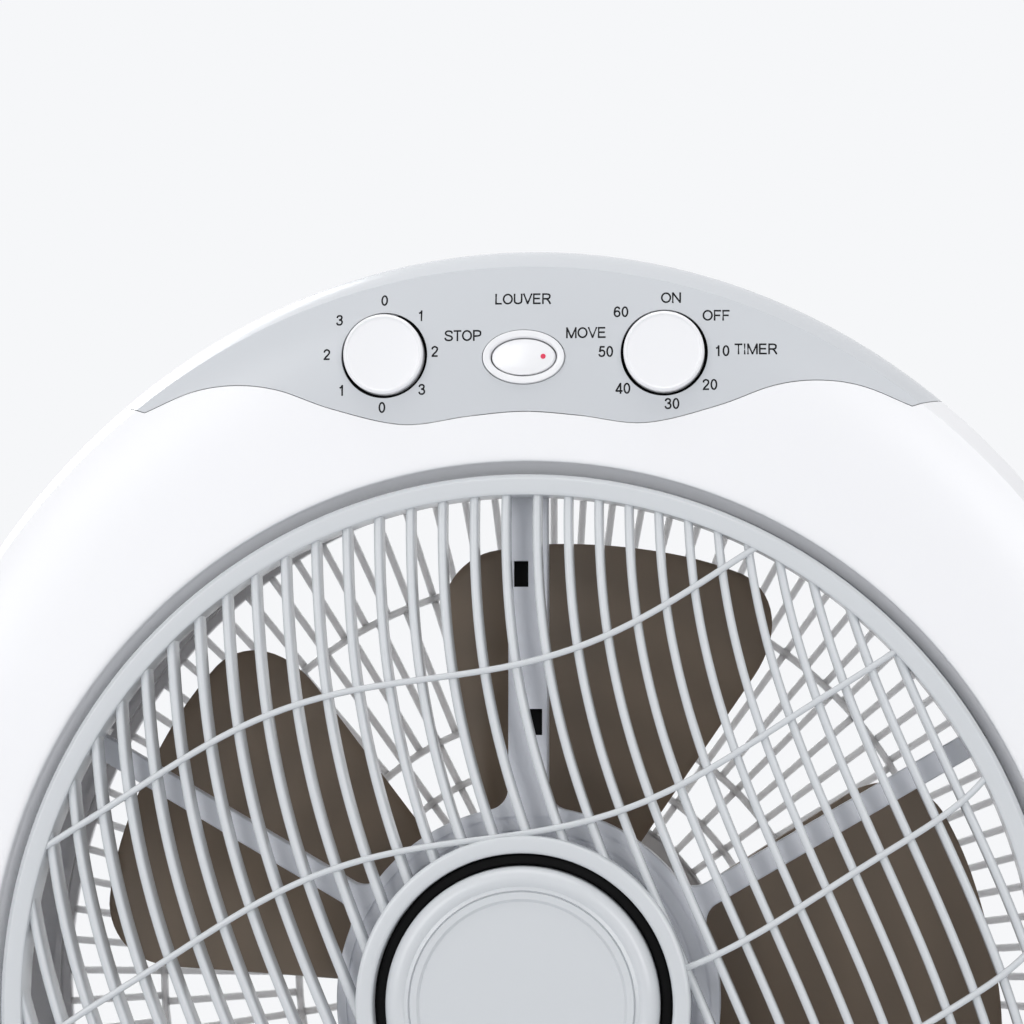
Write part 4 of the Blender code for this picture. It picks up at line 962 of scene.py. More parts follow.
def grown(name, tree, numbers, material, mesh=None):
    """Run a tree on an object and keep the result as a plain mesh."""
    obj = new_object(name, mesh or bpy.data.meshes.new(name))
    modifier = obj.modifiers.new("Shape", "NODES")
    modifier.node_group = tree
    values = {**numbers, "Material": MATERIALS[material]}
    for item in tree.interface.items_tree:
        if item.in_out == "INPUT" and item.name in values:
            modifier[item.identifier] = values[item.name]
    return clean(bake(obj), merge=False)


def rounded_section(tree, width, length, corner):
    """A rounded rectangle used as the cross-section of a bar."""
    box = {"Width": width, "Height": length}
    box = add_node(tree, "GeometryNodeCurvePrimitiveQuadrilateral", None, box)
    fillet = {"Curve": box, "Radius": corner, "Count": CORNER_STEPS}
    return add_node(tree, "GeometryNodeFilletCurve", {"mode": "POLY"}, fillet)


def bar_along(tree, curve, section, capped):
    """A solid bar along a curve, its section upright."""
    upright = add_node(tree, "GeometryNodeSetCurveNormal", {"mode": "Z_UP"}, {"Curve": curve})
    values = {"Curve": upright, "Profile Curve": section, "Fill Caps": capped}
    return add_node(tree, "GeometryNodeCurveToMesh", None, values)


def lines_tree(name, numbers, bend):
    """Bars laid side by side, each bent by a rule and trimmed between two radii.

    bend(tree, given, place, along) gives a bar's sideways place from its own and the run along it.
    """
    tree, given = new_geometry_tree(name, numbers)
    gaps = add_node(tree, MATH, SUBTRACT, (given["Count"], 1))
    span = add_node(tree, MATH, MULTIPLY, (gaps, given["Pitch"]))
    reach = add_node(tree, MATH, MULTIPLY, (given["Outer Radius"], GRID_REACH))
    sizes = {"Size X": span, "Size Y": reach}
    sizes.update({"Vertices X": given["Count"], "Vertices Y": given["Samples"]})
    grid = add_node(tree, "GeometryNodeMeshGrid", None, sizes)
    ends = add_node(tree, "GeometryNodeInputMeshEdgeVertices").outputs
    edge = (ends["Position 1"], ends["Position 2"])
    edge = add_node(tree, "ShaderNodeVectorMath", SUBTRACT, edge)
    edge = add_node(tree, "ShaderNodeSeparateXYZ", None, (edge,))
    crossing = add_node(tree, MATH, {"operation": "ABSOLUTE"}, (edge.outputs["X"],))
    crossing = add_node(tree, MATH, GREATER, (crossing, CROSSING))
    lines = add_node(
        tree,
        "GeometryNodeDeleteGeometry",
        {"domain": "EDGE", "mode": "EDGE_FACE"},
        {"Geometry": grid, "Selection": crossing},
    )
    position = add_node(tree, "GeometryNodeInputPosition")
    place = add_node(tree, "ShaderNodeSeparateXYZ", None, (position,)).outputs
    bent = {"X": bend(tree, given, place["X"], place["Y"]), "Y": place["Y"]}
    bent = add_node(tree, "ShaderNodeCombineXYZ", None, bent)
    bent = {"Vector": bent, "Angle": given["Turn"]}
    bent = add_node(tree, "ShaderNodeVectorRotate", {"rotation_type": "Z_AXIS"}, bent)
    bent = {"Geometry": lines, "Position": bent}
    bent = add_node(tree, "GeometryNodeSetPosition", None, bent)
    distance = add_node(tree, "ShaderNodeVectorMath", LENGTH, (position,)).outputs["Value"]
    past = add_node(tree, MATH, GREATER, (distance, given["Outer Radius"]))
    short = add_node(tree, MATH, LESS, (distance, given["Inner Radius"]))
    trimmed = add_node(
        tree,
        "GeometryNodeDeleteGeometry",
        {"domain": "POINT", "mode": "ALL"},
        {"Geometry": bent, "Selection": add_node(tree, MATH, ADD, (past, short))},
    )
    curves = add_node(tree, "GeometryNodeMeshToCurve", None, (trimmed,))
    section = rounded_section(tree, given["Width"], given["Length"], given["Corner"])
    half = add_node(tree, MATH, MULTIPLY, (given["Length"], 0.5))
    middle = add_node(tree, MATH, ADD, (given["Front"], half))
    close_upright(tree, bar_along(tree, curves, section, True), middle, given)
    return tree


def slat_bend(tree, given, place, along):
    """A slat's place: its pitch, bent by terms in its own place and in the way along it."""
    across = add_node(tree, MATH, DIVIDE, (place, SLAT_UNIT))
    run = add_node(tree, MATH, DIVIDE, (along, SLAT_UNIT))
    total = place
    for i, j, _ in SLAT_BEND:
        powers = [add_node(tree, MATH, POWER, pair) for pair in ((across, i), (run, j))]
        powers = add_node(tree, MATH, MULTIPLY, powers)
        term = add_node(tree, MATH, MULTIPLY, (powers, given[f"Bend {i} {j}"]))
        total = add_node(tree, MATH, ADD, (total, term))
    return total


def rib_bend(tree, given, place, along):
    """A rib's place: an odd curve of the run along it, drawn with four odd powers."""
    total = place
    for name, power, _ in RIB_BEND:
        part = add_node(tree, MATH, POWER, (along, power))
        part = add_node(tree, MATH, MULTIPLY, (part, given[name]))
        total = add_node(tree, MATH, SUBTRACT, (total, part))
    return total


class FAN_OT_louver_wheel(bpy.types.Operator):
    """Build the louver wheel: ring, hub ring, curled slats and cross ribs"""

    bl_idname = "fan.louver_wheel"
    bl_label = "Louver wheel"

    def execute(self, context):
        sizes = context.scene.fan_louver
        outer = sizes.ring_radius
        inner = outer - sizes.ring_width
        ring = [
            (inner, RING_EDGE),
            (inner + RING_EDGE, RING_DISH),
            (outer - RING_SHOULDER, 0.0),
            (outer, RING_SHOULDER),
            (outer, sizes.ring_length),
            (inner, sizes.ring_length),
        ]
        ring = soften(ring, RING_EDGE / 2, closed=True)
        ring = turned("louver_ring", ring, closed=True, steps=SHELL_STEPS)
        set_up(ring, "louver", "louver", "louver_wheel")
        self.build_hub(sizes)
        self.build_bars(sizes)
        return {"FINISHED"}

    def build_hub(self, sizes):
        """The cup that holds the cap, on a boss that the louver's shaft drives."""
        inner = sizes.hub_radius - sizes.hub_width
        floor_back = HUB_FLOOR_FRONT + HUB_FLOOR
        boss_back = floor_back + HUB_BOSS_LENGTH
        profile = [
            (HUB_BORE, HUB_FLOOR_FRONT),
            (inner, HUB_FLOOR_FRONT),
            (inner, -HUB_RING_PROUD),
            (sizes.hub_radius, -HUB_RING_PROUD),
            (sizes.hub_radius, floor_back),
            (HUB_BOSS_RADIUS, floor_back),
            (HUB_BOSS_RADIUS, boss_back),
            (HUB_BORE, boss_back),
        ]
        hub = turned("louver_hub", soften(profile, HUB_SOFT, closed=True), closed=True)
        set_up(hub, "louver", "louver", "louver_wheel")

    def build_bars(self, sizes):
        """The curled slats and the ribs across them, cut from one rule for lines."""
        shared = {
            "Inner Radius": sizes.hub_radius - sizes.hub_width / 2,
            "Outer Radius": sizes.ring_radius - sizes.ring_width / 2,
        }
        slats = {
            **shared,
            "Count": 2 * math.ceil(sizes.ring_radius / sizes.pitch) + 1,
            "Samples": SLAT_SAMPLES,
            "Pitch": sizes.pitch,
            **{f"Bend {i} {j}": term for i, j, term in SLAT_BEND},
            "Turn": sizes.turn,
            "Width": sizes.slat_width,
            "Length": sizes.slat_length,
            "Corner": sizes.slat_width * BAR_ROUNDING,
            "Front": sizes.slat_front,
        }
        ribs = {
            **shared,
            "Count": RIB_COUNT,
            "Samples": RIB_SAMPLES,
            "Pitch": sizes.rib_pitch,
            **{name: term for name, _, term in RIB_BEND},
            "Turn": sizes.turn + math.pi / 2,
            "Width": sizes.rib_width,
            "Length": RIB_LENGTH,
            "Corner": sizes.rib_width * BAR_ROUNDING,
            "Front": RIB_FRONT,
        }
        for name, numbers, bend in (("slats", slats, slat_bend), ("ribs", ribs, rib_bend)):
            tree = lines_tree("fan_" + name, numbers, bend)
            piece = grown("louver_" + name, tree, numbers, "louver")
            dress(piece, "louver", "louver", "louver_wheel", angle=BAR_SHARP_ANGLE)


CAP_RIM = 0.0045
CAP_RIM_STEPS = 16
CAP_RIM_START = 0.30  # where the rim's half round starts, in half turns
CAP_RIM_SINK = 0.0001
CAP_SHARP_ANGLE = 28.0
CAP_WALL = 0.0025
CAP_FLOOR_RADIUS = 0.036
CAP_FLOOR_BACK = 0.0042
CAP_RIM_BACK = 0.009
# The cap's sunk disc and the fine bead round it, as (radius, depth behind the cap's front).
CAP_DISC = (
    (0.0, 0.0016),
    (0.0365, 0.0016),
    (0.0375, 0.0006),
    (0.0398, 0.0005),
    (0.0402, 0.0013),
    (0.0406, 0.0005),
)


class FAN_OT_hub_cap(bpy.types.Operator):
    """Build the bare hub cap and the black ring round it"""

    bl_idname = "fan.hub_cap"
    bl_label = "Hub cap"

    def execute(self, context):
        radius = radius_of("hub_cap")
        front, back = depth_of("hub_cap")
        middle = radius - CAP_RIM
        half = radius - middle
        profile = [(r, front + depth) for r, depth in CAP_DISC]
        for k in range(CAP_RIM_STEPS + 1):
            turn = math.pi * (CAP_RIM_START + (1.0 - CAP_RIM_START) * k / CAP_RIM_STEPS)
            depth = front + CAP_RIM * (1.0 - math.sin(turn)) + CAP_RIM_SINK
            profile.append((middle - half * math.cos(turn), depth))
        profile += [
            (radius, back),
            (radius - CAP_WALL, back),
            (radius - CAP_WALL, front + CAP_RIM_BACK),
            (CAP_FLOOR_RADIUS, front + CAP_FLOOR_BACK),
            (0.0, front + CAP_FLOOR_BACK),
        ]
        cap = turned("hub_cap_face", profile, steps=SHELL_STEPS)
        set_up(cap, "louver", "louver", "hub_cap", angle=CAP_SHARP_ANGLE)

        inner = radius + context.scene.fan_housing.seam
        outer = radius_of("hub_trim_ring")
        ring = round_ring("hub_shadow_ring", inner, outer, *depth_of("hub_trim_ring"), EDGE)
        set_up(ring, "black", "louver", "hub_trim_ring")
        return {"FINISHED"}


# Carrier

ARM_COUNT = 6
WIRE_ARM = 1
ARM_WIDTH = 0.0085
WIRE_ARM_WIDTH = 0.0145
ARM_FILLET = 0.008
ARM_FILLET_STEPS = 12
FIRST_ARM_ANGLE = math.radians(30.0)
CARRIER_DISC = 0.070
CARRIER_RIM = 0.0085
RIM_STEPS = 40
DISC_STEPS = 16
POCKET_RADIUS = 0.0253
POCKET_FRONT = 0.004
SHAFT_HOLE = 0.0042
WIRE_HOLE_CENTRES = ((-0.0025, 0.1549), (0.0026, 0.1006))
WIRE_HOLE = (0.0054, 0.0096)
WIRE_CHANNEL = 0.0116
WIRE_CHANNEL_END = 0.1815
WIRE_CHANNEL_DEPTH = 0.007
DISC_GROOVES = (0.0605, 0.0655)
GROOVE_WIDTH = 0.0009
GROOVE_DEPTH = 0.0008
GROOVE_CLEAR = 0.001


def arm_fillet(arm_angle, side, half_width, inner):
    """Quarter round from an arm's edge to the disc, as points going inwards."""
    offset = half_width + ARM_FILLET
    along = math.sqrt((inner + ARM_FILLET) ** 2 - offset**2)
    direction = Vector(polar(1.0, arm_angle))
    across = Vector((-direction.y, direction.x)) * side
    centre = direction * along + across * offset
    start = math.atan2(*reversed(-across))
    to_disc = math.atan2(-centre.y, -centre.x)
    sweep = (to_disc - start + math.pi) % math.tau - math.pi
    turns = [start + sweep * k / ARM_FILLET_STEPS for k in range(ARM_FILLET_STEPS + 1)]
    return [tuple(centre + Vector(polar(ARM_FILLET, turn))) for turn in turns]


def carrier_window(index, outer, inner):
    """One opening between two arms, its inner corners rounded into the disc."""
    spread = math.tau / ARM_COUNT
    start = FIRST_ARM_ANGLE + spread * index
    widths = []
    for arm in (index, (index + 1) % ARM_COUNT):
        widths.append((WIRE_ARM_WIDTH if arm == WIRE_ARM else ARM_WIDTH) / 2)
    low = start + math.asin(widths[0] / outer)
    high = start + spread - math.asin(widths[1] / outer)
    outline = arc(outer, low, high, RIM_STEPS)
    outline += arm_fillet(start + spread, -1, widths[1], inner)
    first = arm_fillet(start, 1, widths[0], inner)
    angles = [math.atan2(up, x) for x, up in (outline[-1], first[-1])]
    if angles[0] < angles[1]:
        angles[0] += math.tau
    outline += arc(inner, angles[0], angles[1], DISC_STEPS)[1:-1]
    return outline + list(reversed(first))


class FAN_OT_carrier(bpy.types.Operator):
    """Build the six-armed carrier behind the louver wheel"""

    bl_idname = "fan.carrier"
    bl_label = "Carrier"

    def execute(self, context):
        front, back = depth_of("motor_carrier")
        past = back + REACH
        rim = radius_of("motor_carrier")
        outlines = [arc(rim, 0.0, math.tau * (1 - 1 / SHELL_STEPS), SHELL_STEPS - 1)]
        for index in range(ARM_COUNT):
            outlines.append(carrier_window(index, rim - CARRIER_RIM, CARRIER_DISC))
        carrier = plate("carrier_arms", outlines, front, back, EDGE)
        hub = [(0.0, 0.0)]
        channel = (-WIRE_CHANNEL / 2, CARRIER_DISC, back - WIRE_CHANNEL_DEPTH)
        tools = [
            rods("pocket", hub, POCKET_RADIUS, front + POCKET_FRONT, past, ROUND_STEPS),
            rods("bore", hub, SHAFT_HOLE, front - REACH, past),
            block("channel", channel, (WIRE_CHANNEL / 2, WIRE_CHANNEL_END, past)),
        ]
        for radius in DISC_GROOVES:
            sides = (radius, radius + GROOVE_WIDTH, front - GROOVE_CLEAR, front + GROOVE_DEPTH)
            tools.append(turned("groove", ring_profile(*sides), closed=True))
        wide, tall = WIRE_HOLE
        for number, (x, up) in enumerate(WIRE_HOLE_CENTRES):
            low = (x - wide / 2, up - tall / 2, -REACH)
            tools.append(block(f"hole_{number}", low, (x + wide / 2, up + tall / 2, past)))
        combine(carrier, tools)
        set_up(carrier, "carrier", "housing", "motor_carrier", angle=BAR_SHARP_ANGLE)
        return {"FINISHED"}


# Blades

BLADE_ROOT = 0.0445
BLADE_HALF_ANGLE = math.radians(24.5)
BLADE_TIP_SKEW = 0.0170
BLADE_TIP_NARROWING = 0.34
BLADE_MIDDLE = 0.0690
BLADE_PITCH_RISE = 0.0145
BLADE_CAMBER = 0.0050
BLADE_CORNER = 0.0296
BLADE_INNER_ROWS = 12
BLADE_TIP_ROWS = 14
BLADE_COLUMNS = 22
BLADE_SHARP_ANGLE = 60.0
BLADE_EDGE = 0.42  # rounding of a blade's edge, as a share of its thickness
HUB_CUP_FRONT = 0.0500
HUB_CUP_BACK = 0.0860
HUB_CUP_RADIUS = 0.0460
HUB_CUP_WALL = 0.003
HUB_CUP_BOSS = (0.0080, 0.068)
MOTOR_SHAFT_HOLE = 0.0044
NUT_RADIUS = 0.0105
NUT_TOP = 0.0025
HUB_CUP_EDGE = 0.0015


def blade_point(along, across, centre_angle):
    """A blade's middle surface: along runs from root to tip, across from -1 to 1."""
    reach = bpy.context.scene.fan_blades.tip - BLADE_ROOT
    radius = BLADE_ROOT + reach * along
    corner_start = 1.0 - BLADE_CORNER / reach
    width = 1.0
    if along > corner_start:
        into = (along - corner_start) / (1.0 - corner_start)
        width = 1.0 - BLADE_TIP_NARROWING * (1.0 - math.sqrt(max(0.0, 1.0 - into**2)))
    swing = BLADE_HALF_ANGLE * width * across
    radius -= BLADE_TIP_SKEW * swing * along**3
    depth = BLADE_MIDDLE - BLADE_PITCH_RISE * width * across
    depth -= BLADE_CAMBER * (1.0 - across**2) * along
    return (*polar(radius, centre_angle + swing), -depth)


class FAN_OT_blades(bpy.types.Operator):
    """Build the blade rotor and its clamping nut"""

    bl_idname = "fan.blades"
    bl_label = "Blades"

    def execute(self, context):
        sizes = context.scene.fan_blades
        self.build_petals(sizes)
        front, back, floor = HUB_CUP_FRONT, HUB_CUP_BACK, HUB_CUP_FRONT + HUB_CUP_WALL
        inner = HUB_CUP_RADIUS - HUB_CUP_WALL
        boss, boss_back = HUB_CUP_BOSS
        cup = [
            (MOTOR_SHAFT_HOLE, front),
            (inner, front),
            (HUB_CUP_RADIUS, floor),
            (HUB_CUP_RADIUS, back),
            (inner, back),
            (inner, floor),
            (boss, floor),
            (boss, boss_back),
            (MOTOR_SHAFT_HOLE, boss_back),
        ]
        hub = turned("blade_hub", soften(cup, HUB_CUP_EDGE, closed=True), closed=True)
        set_up(hub, "blade", "rotor", "blade_rotor")
        front, back = depth_of("blade_nut")
        nut = [(0.0, front), (NUT_RADIUS, front), (NUT_RADIUS, back), (MOTOR_SHAFT_HOLE, back)]
        nut += [(MOTOR_SHAFT_HOLE, front + NUT_TOP), (0.0, front + NUT_TOP)]
        nut = turned("clamping_nut", soften(nut, WIDE_EDGE), steps=SMALL_STEPS)
        set_up(nut, "blade", "rotor", "blade_nut")
        return {"FINISHED"}

    def build_petals(self, sizes):
        """The five pitched blades, with rows closer together towards their round tips."""
        corner = 1.0 - BLADE_CORNER / (sizes.tip - BLADE_ROOT)
        alongs = [corner * k / BLADE_INNER_ROWS for k in range(BLADE_INNER_ROWS)]
        for k in range(BLADE_TIP_ROWS + 1):
            alongs.append(corner + (1 - corner) * math.sin(math.pi / 2 * k / BLADE_TIP_ROWS))
        acrosses = [2 * k / BLADE_COLUMNS - 1 for k in range(BLADE_COLUMNS + 1)]
        bm = bmesh.new()
        for number in range(sizes.count):
            angle = sizes.first + math.tau * number / sizes.count
            grid = []
            for along in alongs:
                grid.append([bm.verts.new(blade_point(along, a, angle)) for a in acrosses])
            for near, far in zip(grid, grid[1:]):
                for k in range(BLADE_COLUMNS):
                    bm.faces.new((near[k], far[k], far[k + 1], near[k + 1]))
        blades = thicken(mesh_object("blade_petals", bm), sizes.thickness, 0.0, False)
        bevel(blades, sizes.thickness * BLADE_EDGE, 3, BLADE_SHARP_ANGLE)
        set_up(blades, "blade", "rotor", "blade_rotor", angle=BLADE_SHARP_ANGLE)


# Rear grille

GRILLE_RIM_WIDTH = 0.004
GRILLE_CORNER = 0.4
BAR_END = 0.47  # how far from a ring's middle its bars end, as a share of its width
PLATE_OVERLAP = 0.001
# The plate behind the motor as (radius, depth before its back), with a shallow sunk ring.
PLATE_BACK = ((0.062, 0.0), (0.060, 0.0012), (0.040, 0.0012), (0.038, 0.0), (0.0, 0.0))
PLATE_SCREW_HOLE = 0.0018


def grille_tree(numbers):
    """Radial bars in four zones, each bar a rounded strip, joined by round rings."""
    tree, given = new_geometry_tree("fan_rear_grille", numbers)
    join = tree.nodes.new("GeometryNodeJoinGeometry")
    section = rounded_section(tree, given["Bar Width"], given["Bar Length"], given["Corner"])
    rings = ("Rim Radius", "Outer Ring", "Middle Ring", "Cross Ring", "Plate Radius")
    zones = ("Outer Bars", "Middle Bars", "Inner Bars", "Inner Bars")
    half = add_node(tree, MATH, MULTIPLY, (given["Bar Width"], BAR_END))
    for bars, outer, inner in zip(zones, rings, rings[1:]):
        ends = {
            "Start": add_node(tree, MATH, ADD, (given[inner], half)),
            "End": add_node(tree, MATH, SUBTRACT, (given[outer], half)),
        }
        for end, along in ends.items():
            ends[end] = add_node(tree, "ShaderNodeCombineXYZ", None, {"X": along})
        line = add_node(tree, "GeometryNodeCurvePrimitiveLine", None, ends)
        points = add_node(tree, "GeometryNodePoints", None, {"Count": given[bars]})
        step = add_node(tree, MATH, DIVIDE, (math.tau, given[bars]))
        index = add_node(tree, "GeometryNodeInputIndex")
        turn = add_node(tree, MATH, MULTIPLY, (index, step))
        turn = add_node(tree, "ShaderNodeCombineXYZ", None, {"Z": turn})
        bar = bar_along(tree, line, section, True)
        spread = {"Points": points, "Instance": bar, "Rotation": turn}
        spread = add_node(tree, "GeometryNodeInstanceOnPoints", None, spread)
        tree.links.new(spread.outputs[0], join.inputs[0])
    for radius in rings[1:]:
        circle = {"Resolution": SHELL_STEPS, "Radius": given[radius]}
        circle = add_node(tree, "GeometryNodeCurvePrimitiveCircle", None, circle)
        ring = bar_along(tree, circle, section, False)
        tree.links.new(ring.outputs[0], join.inputs[0])
    close_upright(tree, join, given["Middle Depth"], given)
    return tree


class FAN_OT_rear_grille(bpy.types.Operator):
    """Build the rear grille: rim, four zones of bars, rings and the motor's plate"""

    bl_idname = "fan.rear_grille"
    bl_label = "Rear grille"

    def execute(self, context):
        sizes = context.scene.fan_grille
        front, back = depth_of("rear_grille")
        rim = radius_of("rear_grille")
        numbers = {
            "Outer Bars": sizes.outer_bars,
            "Middle Bars": sizes.middle_bars,
            "Inner Bars": sizes.inner_bars,
            "Rim Radius": rim - GRILLE_RIM_WIDTH / 2,
            "Outer Ring": sizes.outer_ring,
            "Middle Ring": sizes.middle_ring,
            "Cross Ring": sizes.inner_ring,
            "Plate Radius": sizes.plate - PLATE_OVERLAP,
            "Bar Width": sizes.bar_width,
            "Bar Length": back - front,
            "Corner": sizes.bar_width * GRILLE_CORNER,
            "Middle Depth": (front + back) / 2,
        }
        bars = grown("rear_grille_bars", grille_tree(numbers), numbers, "grille")
        dress(bars, "grille", "housing", "rear_grille", angle=BAR_SHARP_ANGLE)
        edge = round_ring("rear_grille_rim", rim - GRILLE_RIM_WIDTH, rim, front, back, EDGE)
        set_up(edge, "housing", "housing", "rear_grille")
        profile = [(0.0, front), (sizes.plate, front), (sizes.plate, back)]
        profile += [(radius, back - depth) for radius, depth in PLATE_BACK]
        cover = turned("rear_grille_plate", soften(profile, FINE_EDGE), steps=SHELL_STEPS)
        places = [centre_of(screw) for screw in numbered("motor_screw", 4)]
        holes = rods("holes", places, PLATE_SCREW_HOLE, front - REACH, back + REACH)
        combine(cover, [holes])
        set_up(cover, "housing", "housing", "rear_grille")
        return {"FINISHED"}


# Screws

SCREW_SIZES = {
    "Head Radius": 0.0034,
    "Head Length": 0.0020,
    "Shank Radius": 0.0015,
    "Shank Length": 0.015,
}
SCREW_SETS = (("shell_screw", 4, 1.0), ("motor_screw", 4, 1.0), ("carrier_screw", 3, -1.0))
HEAD_TOP = 0.72
CROSS_ARMS = ((1.1, 0.26), (0.26, 1.1))
HEAD_SIDES = 32
SHANK_SIDES = 24
# Each screw grows on a tiny triangle, whose normal tells it which way to face.
SEAT_RADIUS = 1e-6
SEAT_ANGLES = (0.0, 2.1, 4.2)


def screw_tree():
    """A pan-head screw with a cross recess, put at every point of the object's mesh."""
    tree, given = new_geometry_tree("fan_screws", SCREW_SIZES)
    radius, length = given["Head Radius"], given["Head Length"]
    head = {"Vertices": HEAD_SIDES, "Side Segments": 1, "Radius Bottom": radius, "Depth": length}
    head["Radius Top"] = add_node(tree, MATH, MULTIPLY, (radius, HEAD_TOP))
    head = add_node(tree, "GeometryNodeMeshCone", None, head)
    cross = tree.nodes.new("GeometryNodeJoinGeometry")
    for arm in CROSS_ARMS:
        sides = [add_node(tree, MATH, MULTIPLY, (radius, share)) for share in arm]
        size = add_node(tree, "ShaderNodeCombineXYZ", None, (*sides, length))
        box = add_node(tree, "GeometryNodeMeshCube", None, {"Size": size})
        tree.links.new(box.outputs[0], cross.inputs[0])
    lift = add_node(tree, "ShaderNodeCombineXYZ", None, {"Z": length})
    lifted = {"Geometry": cross, "Translation": lift}
    lifted = add_node(tree, "GeometryNodeTransform", None, lifted)
    cutting = {"operation": "DIFFERENCE"}
    cut = add_node(tree, "GeometryNodeMeshBoolean", cutting, {"Mesh 1": head, "Mesh 2": lifted})
    shank = {"Vertices": SHANK_SIDES, "Radius": given["Shank Radius"]}
    shank["Depth"] = given["Shank Length"]
    shank = add_node(tree, "GeometryNodeMeshCylinder", None, shank)
    drop = add_node(tree, MATH, MULTIPLY, (given["Shank Length"], -0.5))
    drop = add_node(tree, "ShaderNodeCombineXYZ", None, {"Z": drop})
    sunk = {"Geometry": shank, "Translation": drop}
    sunk = add_node(tree, "GeometryNodeTransform", None, sunk)
    whole = tree.nodes.new("GeometryNodeJoinGeometry")
    for part in (cut, sunk):
        tree.links.new(part.outputs[0], whole.inputs[0])
    normal = add_node(tree, "GeometryNodeInputNormal")
    facing = {"Vector": normal}
    facing = add_node(tree, "FunctionNodeAlignRotationToVector", {"axis": "Z"}, facing)
    spread = {"Points": given["Geometry"], "Instance": whole, "Rotation": facing}
    close_tree(tree, add_node(tree, "GeometryNodeInstanceOnPoints", None, spread), given)
    return tree


class FAN_OT_screws(bpy.types.Operator):
    """Put a pan-head screw in place of each plain screw solid"""

    bl_idname = "fan.screws"
    bl_label = "Screws"

    def execute(self, context):
        tree = screw_tree()
        head = SCREW_SIZES["Head Length"]
        for prefix, count, side in SCREW_SETS:
            nodes = numbered(prefix, count)
            bm = bmesh.new()
            for node in nodes:
                low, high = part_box(node)
                y = high.y - head / 2 if side > 0 else low.y + head / 2
                centre = Vector(((low.x + high.x) / 2, y, (low.z + high.z) / 2))
                seat = []
                for angle in SEAT_ANGLES:
                    x, z = polar(SEAT_RADIUS, angle)
                    seat.append(bm.verts.new(centre + Vector((x, 0.0, side * z))))
                bm.faces.new(reversed(seat))
            mesh = bpy.data.meshes.new(prefix + "s")
            bm.to_mesh(mesh)
            bm.free()
            numbers = {**SCREW_SIZES, "Shank Length": high.y - low.y - head}
            dress(grown(prefix + "s", tree, numbers, "screw", mesh), "screw", "housing", *nodes)
        return {"FINISHED"}


# Controls

KNOB_WALL = 0.0027
KNOB_BORE = 0.0034
KNOB_EDGE = 0.0005
# A dial's face as (way in from its edge, depth behind its front), with a fine raised rim.
KNOB_FACE = ((KNOB_RADIUS, 0.0006), (0.0016, 0.0005), (0.0010, 0.0), (0.0, 0.0007))
BEZEL_INNER = (0.0121, 0.0070)
# The bezel's section as (share of the way from its inner to its outer oval, depth behind its
# front), without its two back corners.
BEZEL_ROWS = (
    (1.0, 0.0007),
    (0.92, 0.0001),
    (0.55, 0.0),
    (0.2, 0.0002),
    (0.04, 0.0007),
    (0.0, 0.0014),
)
PADDLE_HALF = 0.0021
PADDLE_DEPTH = 0.0014
PADDLE_TILT = math.radians(-5.0)
PADDLE_UNIT = 0.01
PADDLE_SPAN = (1.17, 0.665)
PADDLE_STEPS = 10
# The paddle's domed face: its edge as a share of the radius, its height and how far it falls.
PADDLE_FACE = 0.96
PADDLE_CROWN = 0.0002
PADDLE_FALL = 0.0006
PADDLE_SHOULDER = ((0.99, 0.0008), (1.0, 0.0014))
MARK_PLACE = (0.0074, 0.0)
MARK_STEPS = 32
# The mark as (radius, depth behind the paddle's front).
MARK_ROWS = ((0.0, -0.00012), (0.0009, -0.00010), (0.0010, 0.0003), (0.0, 0.0003))


class FAN_OT_dials(bpy.types.Operator):
    """Build the two white dials"""

    bl_idname = "fan.dials"
    bl_label = "Dials"

    def execute(self, context):
        for node, body in (("speed_knob", "speed_dial"), ("timer_knob", "timer_dial")):
            front, back = depth_of(node)
            profile = [(KNOB_RADIUS - inset, front + depth) for inset, depth in KNOB_FACE]
            profile += [(KNOB_RADIUS, back), (KNOB_BORE, back)]
            profile += [(KNOB_BORE, front + KNOB_WALL), (0.0, front + KNOB_WALL)]
            knob = turned(node + "_cap", soften(profile, KNOB_EDGE), centre=centre_of(node))
            set_up(knob, "dial", body, node)
        return {"FINISHED"}


class FAN_OT_rocker(bpy.types.Operator):
    """Build the rocker switch, its oval bezel and its red mark"""

    bl_idname = "fan.rocker"
    bl_label = "Rocker switch"

    def execute(self, context):
        up = centre_of("rocker_bezel")[1]
        self.build_bezel(up)
        tilt = Matrix.Rotation(PADDLE_TILT, 4, "Y")
        place = Matrix.Translation((0.0, up, -PADDLE_DEPTH)) @ tilt
        half = PADDLE_HALF
        shares = [k / PADDLE_STEPS for k in range(PADDLE_STEPS + 1)]
        rows = [(s * PADDLE_FACE, -half - PADDLE_CROWN + PADDLE_FALL * s**2) for s in shares]
        rows += [(share, -half + depth) for share, depth in PADDLE_SHOULDER]
        rows = [(share * PADDLE_UNIT, depth) for share, depth in [*rows, (1.0, half), (0.0, half)]]
        button = turned("rocker_paddle", rows, scale=PADDLE_SPAN)
        button.data.transform(place)
        set_up(button, "dial", "rocker", "rocker_button")
        rows = [(radius, -half + depth) for radius, depth in MARK_ROWS]
        mark = turned("rocker_mark", rows, steps=MARK_STEPS, centre=MARK_PLACE)
        mark.data.transform(place)
        set_up(mark, "red", "rocker")
        return {"FINISHED"}

    def build_bezel(self, up):
        front, back = depth_of("rocker_bezel")
        outer = bezel_halves()
        rows = [(share, front + depth) for share, depth in BEZEL_ROWS]
        rings = []
        for share, depth in [(1.0, back), *rows, (0.0, back)]:
            wide, tall = (low + (high - low) * share for low, high in zip(BEZEL_INNER, outer))
            rings.append(oval(wide, tall, (0.0, up), depth, turns(ROUND_STEPS)))
        bezel = clean(loft("rocker_surround", rings, closed=True))
        set_up(bezel, "dial", "housing", "rocker_bezel")


